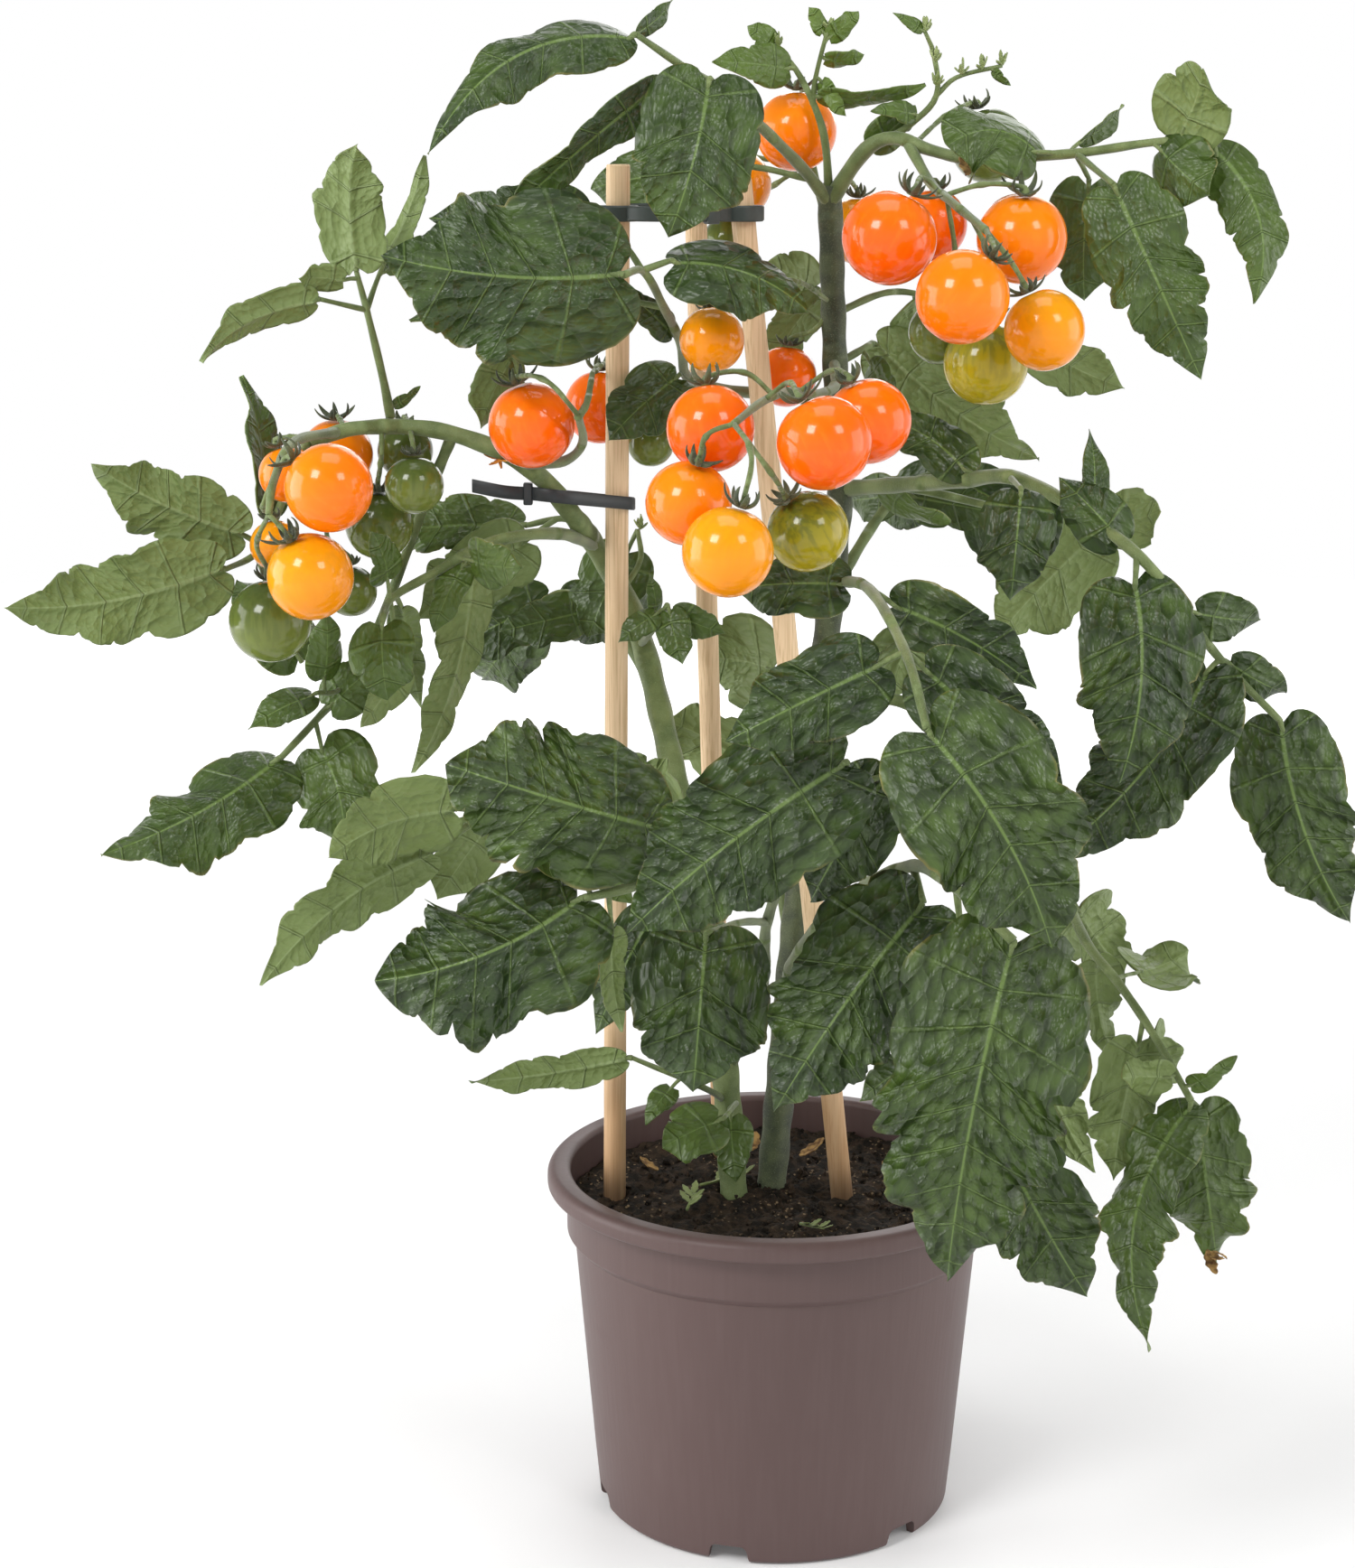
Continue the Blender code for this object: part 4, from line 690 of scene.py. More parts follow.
# share of the stalk, turn to either side in degrees, and share of the longest leaflet's length
RULED_LEAFLETS = ((1.0, 0, 1.0), (0.78, 62, 0.8), (0.78, -58, 0.75), (0.5, 70, 0.6), (0.5, -68, 0.65))
RULED_WIDTH = 0.66  # of a leaflet, as a share of its length
RULED_DROOP = 0.25


def grown_by_rule(path: list[Point], longest: float) -> Stalk:
    """Grow a whole compound leaf: an end leaflet and two pairs that shorten towards the stem.

    Args:
        path: the points of its stalk.
        longest: the end leaflet's length.

    Returns:
        The stalk with its leaflets.
    """
    points = [np.array(point, float) for point in path]
    leaflets = []
    for at, turn, share in RULED_LEAFLETS:
        along = unit(points[-1] - points[-2]) if at > 0.6 else unit(points[-1] - points[0])
        up = unit(np.array((0.0, 0.0, 1.0)) - along * along[2])
        ahead, aside, _ = towards(math.radians(turn))
        way = unit(along * ahead + np.cross(up, along) * aside - up * RULED_DROOP)
        heading, lean = math.degrees(math.atan2(way[0], way[2])), -math.degrees(math.asin(way[1]))
        length = longest * share
        leaflets.append(Leaflet(at, heading, lean, length, length * RULED_WIDTH, stem=5))
    return Stalk(path, 2.2, 1.2, leaflets)


PLAN: dict[str, list[Stalk]] = {}
PLAN["stem_left"] = [
    STEM_LEFT,
    # the truss over the tie
    Stalk([(-90, -38, 395), (-75, -56, 398), (-68, -67, 405), (-69, -80, 416)], 1.9, 1.3,
          fruit=["tomato_d1"]),
    Stalk([(-69, -79, 415), (-67, -50, 417), (-66, -12, 424)], 1.4, 1.0,
          fruit=["tomato_d2", "tomato_c9"]),
    # the truss at the stem's end
    Stalk([(-150, -57, 408), (-162, -82, 407), (-166, -104, 396), (-167, -108, 387)], 1.8, 1.2,
          fruit=["tomato_e1", "tomato_e2", "tomato_e3", "tomato_e5", "tomato_e6"]),
    # side shoots between the canes
    Stalk([(-68, -18, 372), (-77, -12, 373), (-90, 0, 369)], 1.4, 1.0, [
        Leaflet(0.5, 235, 0, 47, 31, 165, 14), Leaflet(1.0, 265, -10, 62, 24, 20, fold=0.2)]),
    Stalk([(-57, 6, 344), (-50, 18, 354), (-51, 25, 364)], 1.2, 0.9, [
        Leaflet(1.0, 205, 0, 34, 30, 15, 10)]),
    Stalk([(-86, -37, 392), (-87, -10, 406), (-94, -4, 430)], 1.3, 0.9, [
        Leaflet(1.0, 205, 10, 26, 20, 150)]),
    Stalk([(-50, 5, 325), (-46, -10, 332), (-40, -22, 344)], 1.4, 1.0, [
        Leaflet(0.95, 235, 15, 17, 11, 25, 4), Leaflet(1.0, 165, 20, 19, 14, 10),
        Leaflet(0.9, 110, 5, 19, 13, 20, 4), Leaflet(0.7, 350, 10, 15, 7, 30)]),
    # low leaves over the soil
    Stalk([(-18, 2, 149), (-15, -18, 159), (-20, -38, 160)], 1.2, 0.8, [
        Leaflet(1.0, 250, 20, 22, 24, 20), Leaflet(0.75, 175, 25, 23, 17, 10)]),
    Stalk([(-18, 2, 153), (-27, -12, 163), (-53, -20, 177)], 1.4, 0.9, [
        Leaflet(1.0, 265, 10, 57, 17, 155, swing=-0.06), Leaflet(0.6, 220, 30, 17, 11, 30, 5)]),
]
PLAN["stem_right"] = [
    STEM_RIGHT,
    # the top truss behind the ring
    Stalk([(16, -3, 472), (14, 37, 486), (10, 47, 505)], 1.6, 1.1,
          fruit=["tomato_a1", "tomato_a2", "tomato_a3", "tomato_b8"]),
    # the middle truss, which comes forwards
    Stalk([(19, 6, 426), (17, -34, 421), (9, -62, 421), (-1, -86, 424), (-10, -112, 423),
           (-19, -130, 418)], 2.0, 1.2, fruit=[f"tomato_c{number}" for number in range(1, 7)]),
    # leaves behind the right hand stem
    Stalk([(21, 2, 383), (46, 30, 379), (80, 35, 371), (117, 30, 362)], 2.0, 1.2, [
        Leaflet(1.0, 225, 10, 49, 41, 165), Leaflet(0.95, 75, 15, 18, 26, 150, 12),
        Leaflet(0.18, 115, 10, 27, 15, 50, 4)]),
    Stalk([(19, 5, 425), (35, 45, 430)], 1.6, 1.2, [
        Leaflet(1.0, 125, 10, 72, 38, 150), Leaflet(0.7, 145, 45, 34, 14, 30, 8)]),
    Stalk([(17, 3, 443), (47, 35, 449), (90, 50, 431)], 1.4, 0.9, [
        Leaflet(0.5, 165, -55, 30, 23, 150), Leaflet(1.0, 115, 10, 39, 25, 160)]),
    Stalk([(16, 7, 315), (11, 38, 312), (2, 58, 306)], 1.6, 1.1, [
        Leaflet(1.0, 275, -30, 30, 42, 150)]),
    Stalk([(15, 12, 284), (4, 38, 272), (-9, 55, 269)], 1.4, 1.0, [
        Leaflet(1.0, 300, -5, 34, 34, 150)]),
    Stalk([(15, 9, 306), (34, 30, 313), (52, 40, 325)], 1.3, 0.9, [
        Leaflet(1.0, 200, 0, 26, 30, 150)]),
    Stalk([(18, 3, 447), (15, 28, 450)], 1.2, 0.9, [
        Leaflet(0.9, 215, -10, 29, 22, 150),
        Leaflet(1.0, 295, -30, 22, 22, 150)], fruit=["tomato_c7", "tomato_c8"]),
    # shoots above the ring
    Stalk([(16, -5, 484), (14, -6, 504), (10, -3, 516), (4, -1, 527), (-2, 2, 534)], 1.6, 0.8, [
        Leaflet(0.82, 275, 25, 29, 16, 15), Leaflet(1.0, 305, 10, 11, 10, 20, 2)]),
    Stalk([(10, -3, 515), (11, -2, 524), (15, -1, 540)], 1.1, 0.7, [
        Leaflet(0.85, 50, -10, 14, 9, 20, 2), Leaflet(0.9, 330, 10, 10, 7, 20, 2),
        Leaflet(0.6, 85, -10, 14, 9, 40, 2), Leaflet(0.4, 145, 15, 15, 8, 20, 3),
        Leaflet(0.1, 85, 5, 37, 11, 50, 2)]),
]
PLAN["frond_crown_left"] = [
    Stalk([(16, -5, 482), (5, -15, 495), (-22, -45, 519), (-35, -52, 527), (-50, -56, 537)],
          2.4, 1.0, [
        Leaflet(1.0, 240, 20, 79, 25, 30, 2, arch=0.12, fold=-0.35, swing=-0.12),
        Leaflet(1.0, 45, -45, 22, 8, 40, 1),
        Leaflet(0.82, 230, 0, 72, 18, -35, 9, arch=0.1, fold=0.3, swing=-0.09)]),
    Stalk([(-22, -45, 519), (-26, -62, 523)], 1.2, 1.0, [
        Leaflet(1.0, 195, 15, 52, 46, 0, 2, swing=0.03)]),
    Stalk([(9, -11, 490), (-12, 5, 494), (-38, 30, 491)], 1.2, 0.9, [
        Leaflet(1.0, 260, -10, 28, 24, 20)]),
]
PLAN["frond_upper_left"] = [
    Stalk([(19, 6, 410), (8, 24, 412), (-20, 14, 416), (-33, -8, 422), (-35, -25, 434),
           (-41, -55, 449), (-48, -72, 462), (-54, -81, 461)], 2.3, 1.2, [
        Leaflet(0.5, 230, 25, 34, 28, 15, 5, arch=0.1), Leaflet(0.62, 315, 40, 33, 12, 10, 5),
        Leaflet(1.0, 275, 10, 76, 63, 5, 2, arch=0.06, fold=-0.12, swing=0.05)]),
    Stalk([(-48, -72, 462), (-54, -62, 470), (-65, -48, 478)], 1.1, 0.9, [
        Leaflet(1.0, 270, -15, 53, 28, -15, arch=0.12, fold=-0.1)]),
    Stalk([(-41, -55, 449), (-58, -46, 452), (-68, -48, 455)], 1.1, 0.9, [
        Leaflet(1.0, 260, 5, 56, 24, 30, arch=0.05)]),
    Stalk([(-48, -72, 462), (-39, -68, 465)], 1.2, 1.0, [
        Leaflet(1.0, 110, 0, 47, 33, -40, 2, arch=0.1, fold=-0.2, swing=0.05)]),
]
PLAN["frond_far_left_up"] = [
    Stalk([(-133, -50, 412), (-135, -52, 425), (-140, -52, 448), (-143, -54, 461)], 1.7, 0.9, [
        Leaflet(1.0, 5, 25, 44, 27, 165, 2, fold=0.25, swing=-0.08),
        Leaflet(0.93, 275, 30, 16, 12, 150, 6), Leaflet(0.06, 55, -25, 12, 5, 30, 2)]),
    Stalk([(-140, -52, 448), (-138, -46, 455), (-135, -42, 463)], 1.0, 0.8, [
        Leaflet(1.0, 20, -20, 38, 12, 140, 2, fold=0.4), Leaflet(0.7, 50, -40, 17, 9, 150, 4)]),
    Stalk([(-140, -52, 448), (-155, -58, 452)], 1.0, 0.8, [
        Leaflet(1.0, 245, 25, 45, 17, 140, 2, arch=0.05, fold=0.35, swing=0.06)]),
]
PLAN["frond_far_left"] = [
    Stalk([(-160, -60, 405), (-169, -45, 388), (-178, -40, 369), (-182, -42, 364), (-190, -52, 361)],
          1.6, 1.0, [
        Leaflet(1.0, 265, 35, 79, 35, 180, 2, arch=0.05, swing=-0.05),
        Leaflet(0.72, 300, 20, 57, 30, 170, 9, arch=0.05, swing=-0.05),
        Leaflet(0.6, 350, -10, 47, 22, 55, 5, arch=0.04, fold=0.3)]),
    Stalk([(-181, -42, 365), (-180, -30, 355), (-177, -24, 338), (-169, -20, 323)], 1.0, 0.8, [
        Leaflet(1.0, 320, -20, 38, 29, 20, 2, fold=-0.1)]),
]
PLAN["frond_left_low"] = [
    Stalk([(-113, -45, 405), (-126, -12, 377), (-139, -5, 344), (-150, -20, 319), (-163, -35, 305),
           (-174, -45, 294)], 2.0, 1.2, [
        Leaflet(1.0, 245, 30, 70, 39, 30, 2, arch=0.04, fold=-0.25, swing=0.07),
        Leaflet(0.88, 165, 25, 37, 35, 10, 11, fold=0.05, swing=0.08),
        Leaflet(0.86, 50, -10, 23, 20, -20, 5)]),
    Stalk([(-150, -20, 319), (-156, -34, 315), (-161, -40, 316)], 1.0, 0.8, [
        Leaflet(1.0, 245, 25, 25, 15, 35, fold=0.2),
        Leaflet(0.9, 5, 10, 25, 15, 20, 5, fold=-0.2)]),
]
PLAN["frond_left_mid"] = [
    Stalk([(-66, 1, 362), (-80, -36, 371), (-101, -45, 369), (-120, -50, 359), (-134, -55, 351),
           (-136, -66, 345)], 2.4, 1.1, [
        Leaflet(1.0, 175, 20, 25, 25, 10, 2, arch=0.12), Leaflet(0.88, 350, 35, 22, 15, 30, 9),
        Leaflet(0.86, 175, -35, 50, 14, 165, 6, arch=0.05), Leaflet(0.65, 90, 45, 24, 20, 20, 7),
        Leaflet(0.62, 205, 20, 25, 14, 20, 5)]),
    Stalk([(-134, -55, 351), (-133, -47, 338), (-129, -40, 326)], 0.9, 0.7, [
        Leaflet(1.0, 220, 25, 26, 14, 165, 3, arch=0.05)]),
    Stalk([(-101, -45, 369), (-107, -32, 365)], 0.9, 0.7, [
        Leaflet(1.0, 195, 15, 78, 22, 150, 2, arch=0.05, fold=0.35, swing=-0.1)]),
]
PLAN["frond_low_left"] = [
    Stalk([(-28, -6, 229), (-32, -60, 251), (-38, -100, 266), (-54, -118, 266), (-67, -122, 264)],
          2.6, 1.4, [
        Leaflet(1.0, 250, 10, 70, 59, 15, 2, arch=0.1, fold=-0.2, swing=0.1, fall=0.6),
        Leaflet(0.97, 320, -40, 30, 25, 15, 13), Leaflet(0.94, 175, -10, 38, 13, 150, 13)]),
    Stalk([(-38, -100, 266), (-38, -110, 276), (-42, -118, 286)], 1.6, 1.3, [
        Leaflet(1.0, 290, 10, 72, 57, 5, 2, fold=-0.1, swing=0.02, fall=0.6),
        Leaflet(0.3, 330, -15, 33, 36, 150, 9, arch=0.05)]),
]
PLAN["frond_left_pale"] = [
    Stalk([(-25, -3, 213), (-42, -20, 243), (-68, -45, 273), (-95, -62, 281), (-119, -72, 268)],
          2.4, 1.2, [
        Leaflet(1.0, 235, 25, 73, 28, 150, 2, arch=0.05, fold=0.2, swing=0.06),
        Leaflet(0.82, 215, 0, 30, 25, 170, 9), Leaflet(0.74, 170, -15, 30, 15, 150, 8),
        Leaflet(0.62, 145, 15, 33, 19, 20, 5)]),
    Stalk([(-100, -64, 279), (-111, -76, 283)], 1.0, 0.8, [
        Leaflet(1.0, 255, 30, 47, 31, 165, 2, swing=0.06)]),
]
PLAN["frond_centre_low"] = [
    Stalk([(-18, 1, 165), (-6, -12, 199), (-5, -45, 235), (6, -118, 291), (16, -150, 315)],
          2.4, 1.4, [
        Leaflet(1.0, 230, -5, 88, 54, 0, 2, arch=0.07, swing=-0.03)]),
    Stalk([(-5, -45, 235), (-15, -75, 243), (-27, -100, 246)], 1.5, 1.1, [
        Leaflet(1.0, 185, 20, 51, 53, 0, 2, fold=-0.05)]),
    Stalk([(-6, -20, 206), (-20, -24, 228), (-44, -50, 242)], 1.2, 1.0, [
        Leaflet(1.0, 205, 5, 48, 24, 15, 2)]),
    Stalk([(6, -118, 291), (18, -127, 302), (30, -128, 306)], 1.3, 1.0, [
        Leaflet(1.0, 205, -25, 56, 33, 10, 2)]),
]
PLAN["frond_centre"] = [
    Stalk([(20, 5, 362), (17, -60, 359), (25, -120, 364), (34, -155, 349), (39, -172, 330)],
          2.2, 1.4, [
        Leaflet(1.0, 150, 10, 76, 59, 0, 2, swing=0.06), Leaflet(0.85, 245, 10, 52, 34, 5, 10),
        Leaflet(0.85, 130, 0, 56, 34, 10, 9, arch=0.06, swing=0.0),
        Leaflet(0.64, 120, 5, 52, 28, 25, 10, arch=0.06, swing=0.08),
        Leaflet(0.48, 265, -15, 37, 26, 20, fold=-0.1)]),
]
PLAN["frond_low_right"] = [
    Stalk([(5, 14, 188), (5, -20, 212), (20, -62, 246), (40, -115, 273), (52, -140, 272),
           (69, -152, 258)], 2.8, 1.7, [
        Leaflet(1.0, 190, 5, 113, 70, 0, 2, arch=0.06, fold=0.04, swing=-0.02)]),
    Stalk([(40, -115, 273), (43, -124, 263)], 1.4, 1.2, [
        Leaflet(1.0, 215, 5, 82, 53, 0, 2, fold=0.06, swing=-0.02)]),
    Stalk([(69, -152, 258), (70, -138, 221), (70, -128, 181)], 1.4, 1.0, [
        Leaflet(1.0, 150, 10, 55, 41, 10, 2, arch=0.06)]),
    Stalk([(52, -140, 272), (57, -116, 239), (57, -104, 211)], 1.2, 0.9, [
        Leaflet(1.0, 235, -5, 38, 18, 20)]),
    Stalk([(69, -148, 248), (75, -126, 226), (79, -118, 215)], 1.0, 0.8, [
        Leaflet(1.0, 155, -5, 51, 24, 160, 2, arch=0.06)]),
]
PLAN["frond_right"] = [
    Stalk([(22, 0, 382), (60, -35, 389), (76, -50, 392), (93, -62, 385), (115, -80, 370),
           (130, -70, 353), (148, -58, 331), (171, -48, 308)], 3.0, 1.2, [
        Leaflet(1.0, 160, 10, 74, 44, 0, 2, arch=0.05, fold=-0.15, swing=-0.06),
        Leaflet(0.84, 220, 5, 84, 45, 10, 6, fold=0.04, swing=0.08),
        Leaflet(0.84, 120, -30, 29, 18, 20, 6), Leaflet(0.73, 100, -30, 28, 19, 20, 6),
        Leaflet(0.59, 185, 15, 66, 47, -10, 10, arch=0.1, fold=-0.12, swing=0.05),
        Leaflet(0.57, 315, -20, 29, 22, 15, 4, fold=-0.1),
        Leaflet(0.5, 0, -30, 30, 11, 30, 4, fold=0.3),
        Leaflet(0.28, 300, -30, 38, 22, 20, 6, arch=0.06, swing=-0.06),
        Leaflet(0.4, 185, 0, 22, 19, 20, 4, arch=0.06)]),
    Stalk([(76, -50, 392), (77, -74, 391)], 1.1, 0.9, [
        Leaflet(1.0, 185, 10, 35, 29, 0, 2, arch=0.16, fold=-0.2)]),
]
PLAN["frond_crown_right"] = [
    Stalk([(16, -5, 482), (28, -12, 500), (37, -16, 504), (49, -20, 500), (63, -24, 497),
           (97, -34, 499), (126, -42, 503), (141, -46, 502)], 2.9, 1.1, [
        Leaflet(1.0, 165, 15, 53, 24, -20, 2, arch=0.06, fold=-0.3, swing=0.14),
        Leaflet(0.92, 10, 40, 28, 30, 155, 4), Leaflet(0.86, 135, 35, 25, 26, 15, 4, fold=-0.2),
        Leaflet(0.64, 275, 15, 32, 35, 40, 8, arch=0.12, fold=-0.3, swing=-0.14, fall=0.5),
        Leaflet(0.66, 50, -25, 21, 10, 60, 7, fold=0.4), Leaflet(0.16, 50, -15, 21, 15, 20)],
          fruit=["tomato_b9"]),
    Stalk([(97, -34, 499), (108, -48, 489)], 1.2, 1.0, [
        Leaflet(1.0, 155, 10, 69, 37, 0, 2, arch=0.06, fold=0.05)]),
    Stalk([(97, -34, 499), (105, -10, 490)], 1.0, 0.8, [
        Leaflet(1.0, 180, -5, 39, 31, 15)]),
    # the truss below the crown
    Stalk([(42, -18, 502), (49, -30, 489), (53, -56, 484), (63, -79, 475)], 1.9, 1.3,
          fruit=[f"tomato_b{number}" for number in range(1, 8)]),
    # the tallest shoot, with flower buds
    Stalk([(33, -14, 502), (44, -12, 509), (52, -10, 518), (51, -8, 532), (48, -8, 539)],
          1.3, 0.7, [
        Leaflet(0.35, 275, 25, 17, 9, 30, 2), Leaflet(1.0, 300, 0, 12, 5, 20, 1)]),
    Stalk([(52, -10, 518), (59, -6, 524), (75, -2, 528)], 0.9, 0.7, [
        Leaflet(0.85, 130, 5, 8, 4, 20, 1)]),
]
PLAN["frond_drooping_right"] = [
    Stalk([(15, 10, 295), (42, 20, 302), (73, 20, 283), (92, 0, 264), (106, -50, 230),
           (117, -62, 217), (127, -70, 203), (140, -80, 181)], 2.6, 1.2, [
        Leaflet(1.0, 190, 15, 84, 28, 20, 2, arch=0.1, fold=-0.2, swing=-0.12),
        Leaflet(0.98, 45, 30, 22, 9, 30, 3, arch=0.05, fold=0.3),
        Leaflet(0.96, 280, 30, 21, 15, 160, 4), Leaflet(0.31, 130, -15, 38, 32, 160, 7),
        Leaflet(0.53, 185, 25, 31, 17, 160, 4), Leaflet(0.6, 145, -25, 38, 31, 160, 12),
        Leaflet(0.73, 170, -10, 38, 21, 155, 4), Leaflet(0.79, 85, -45, 30, 30, 150, 12),
        Leaflet(0.87, 150, -35, 34, 17, 150, 6), Leaflet(0.86, 190, 5, 49, 28, 165, 9)]),
    Stalk([(140, -80, 181), (143, -73, 177)], 0.9, 0.9, [
        Leaflet(1.0, 170, -5, 60, 36, 0, 2, arch=0.12, fold=-0.2)]),
]
PLAN["frond_back_left"] = [
    grown_by_rule([(-46, 0, 312), (-62, 38, 330), (-80, 68, 334), (-94, 92, 322)], 54.0)]
PLAN["frond_back_right"] = [
    grown_by_rule([(17, 8, 340), (44, 52, 372), (66, 82, 378), (84, 108, 364)], 52.0)]
PLAN["frond_back_low"] = [
    grown_by_rule([(6, 14, 205), (0, 52, 238), (-10, 88, 246), (-22, 118, 230)], 56.0)]


def point_along(path: list[Point], share: float) -> Array:
    """Find the point at a share of a path's length.

    Args:
        path: the path's points.
        share: how far along it, from 0 to 1.

    Returns:
        The point.
    """
    points = [np.array(point, float) for point in path]
    lengths = [np.linalg.norm(after - before) for before, after in zip(points, points[1:])]
    left = share * sum(lengths)
    for start, end, length in zip(points, points[1:], lengths):
        if left <= length:
            return start + (end - start) * left / length
        left -= length
    return points[-1]


# -------- shapes that pieces start from
def as_mesh(bm: Form, place: Sequence[float] = (0.0, 0.0, 0.0), turn: float = 0.0,
            scale: float = MM) -> Mesh:
    """Put a bmesh in its place and turn it into a mesh.

    Args:
        bm: the shape, which is used up.
        place: where its origin goes.
        turn: its turn about the upright axis in radians.
        scale: what a length in it is multiplied by.

    Returns:
        The mesh.
    """
    bmesh.ops.rotate(bm, cent=(0, 0, 0), verts=bm.verts, matrix=Matrix.Rotation(turn, 3, "Z"))
    bmesh.ops.translate(bm, verts=bm.verts, vec=place)
    bmesh.ops.scale(bm, vec=(scale, scale, scale), verts=bm.verts)
    mesh = bpy.data.meshes.new("part")
    bm.to_mesh(mesh)
    bm.free()
    return mesh


def points_of(mesh: Mesh) -> Array:
    """Read a mesh's points.

    Args:
        mesh: the mesh.

    Returns:
        One row of three numbers for each point.
    """
    numbers = np.empty(len(mesh.vertices) * 3)
    mesh.vertices.foreach_get("co", numbers)
    return numbers.reshape(-1, 3)


class Stencils:
    """Plain starting shapes, each made once, whose points are then moved into place."""

    @staticmethod
    def raised(bm: Form, faces: list[bmesh.types.BMFace]) -> list[bmesh.types.BMFace]:
        """Draw faces up by one.

        Args:
            bm: the shape.
            faces: the faces that move.

        Returns:
            The faces at the new height.
        """
        fresh = bmesh.ops.extrude_face_region(bm, geom=faces)["geom"]
        points = [part for part in fresh if isinstance(part, bmesh.types.BMVert)]
        bmesh.ops.translate(bm, verts=points, vec=(0.0, 0.0, 1.0))
        return [part for part in fresh if isinstance(part, bmesh.types.BMFace)]

    @staticmethod
    @cache
    def slab(columns: int, rows: int) -> Mesh:
        """Make a closed flat slab: x and y from -1 to 1, and z 0 below and 1 above.

        Args:
            columns: steps along x.
            rows: steps along y.

        Returns:
            The slab.
        """
        bm = bmesh.new()
        bmesh.ops.create_grid(bm, x_segments=columns, y_segments=rows, size=1.0)
        Stencils.raised(bm, list(bm.faces))
        bmesh.ops.recalc_face_normals(bm, faces=bm.faces)
        return as_mesh(bm, scale=1.0)

    @staticmethod
    @cache
    def pipe(sides: int, steps: int) -> Mesh:
        """Make a closed pipe of radius 1 along z, with a ring of points at each whole number.

        Args:
            sides: faces round it.
            steps: its length.

        Returns:
            The pipe.
        """
        bm = bmesh.new()
        bmesh.ops.create_circle(bm, segments=sides, radius=1.0, cap_ends=True)
        end = list(bm.faces)
        for _ in range(steps):
            end = Stencils.raised(bm, end)
        bmesh.ops.recalc_face_normals(bm, faces=bm.faces)
        return as_mesh(bm, scale=1.0)

    @staticmethod
    @cache
    def ball(around: int, bands: int) -> Mesh:
        """Make a ball of radius 1.

        Args:
            around: faces round it.
            bands: faces from pole to pole.

        Returns:
            The ball.
        """
        bm = bmesh.new()
        bmesh.ops.create_uvsphere(bm, u_segments=around, v_segments=bands, radius=1.0)
        return as_mesh(bm, scale=1.0)


def moulded(stencil: Mesh, places: Array, paint: int = 0,
            marks: dict[str, Array] | None = None) -> Mesh:
    """Move a stencil's points into place.

    Args:
        stencil: the starting shape.
        places: where its points go, in millimetres.
        paint: which of the piece's finishes it takes.
        marks: vectors that the points carry for the finishes.

    Returns:
        The new mesh, in metres.
    """
    mesh = stencil.copy()
    mesh.vertices.foreach_set("co", (places * MM).ravel())
    mesh.polygons.foreach_set("material_index", np.full(len(mesh.polygons), paint))
    for name, vectors in (marks or {}).items():
        mark = mesh.attributes.new(name, "FLOAT_VECTOR", "POINT")
        mark.data.foreach_set("vector", np.ascontiguousarray(vectors, dtype=np.float32).ravel())
    return mesh


class Piece:
    """One visible piece, gathered from parts, that stands for solids."""

    def __init__(self, name: str, *finishes: Material) -> None:
        """Start an empty piece.

        Args:
            name: the piece's name.
            finishes: its materials, which its parts take by number.
        """
        self.name = name
        self.finishes = finishes
        self.bm = bmesh.new()

    def add(self, *meshes: Mesh) -> None:
        """Gather parts and drop their own meshes.

        Args:
            meshes: the parts.
        """
        for mesh in meshes:
            self.bm.from_mesh(mesh)
            bpy.data.meshes.remove(mesh)

    def done(self, slot: str, *nodes: str, crease: float = 0.0, weld: float = 0.004) -> None:
        """Finish the piece.

        Args:
            slot: the record's material slot; it is not used.
            nodes: the solids that it stands for.
            crease: edges sharper than this many degrees stay sharp, where it isn't zero.
            weld: points closer than this many millimetres become one.
        """
        bmesh.ops.remove_doubles(self.bm, verts=self.bm.verts, dist=weld * MM)
        mesh = bpy.data.meshes.new(self.name)
        self.bm.to_mesh(mesh)
        self.bm.free()
        for finish in self.finishes:
            mesh.materials.append(finish)
        mesh.shade_smooth()
        if crease:
            mesh.set_sharp_from_angle(angle=math.radians(crease))
        made = in_scene(self.name, mesh)
        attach(made, "root")
        if nodes:
            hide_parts(*nodes)
        LOG.info("%s: %d faces", self.name, len(mesh.polygons))


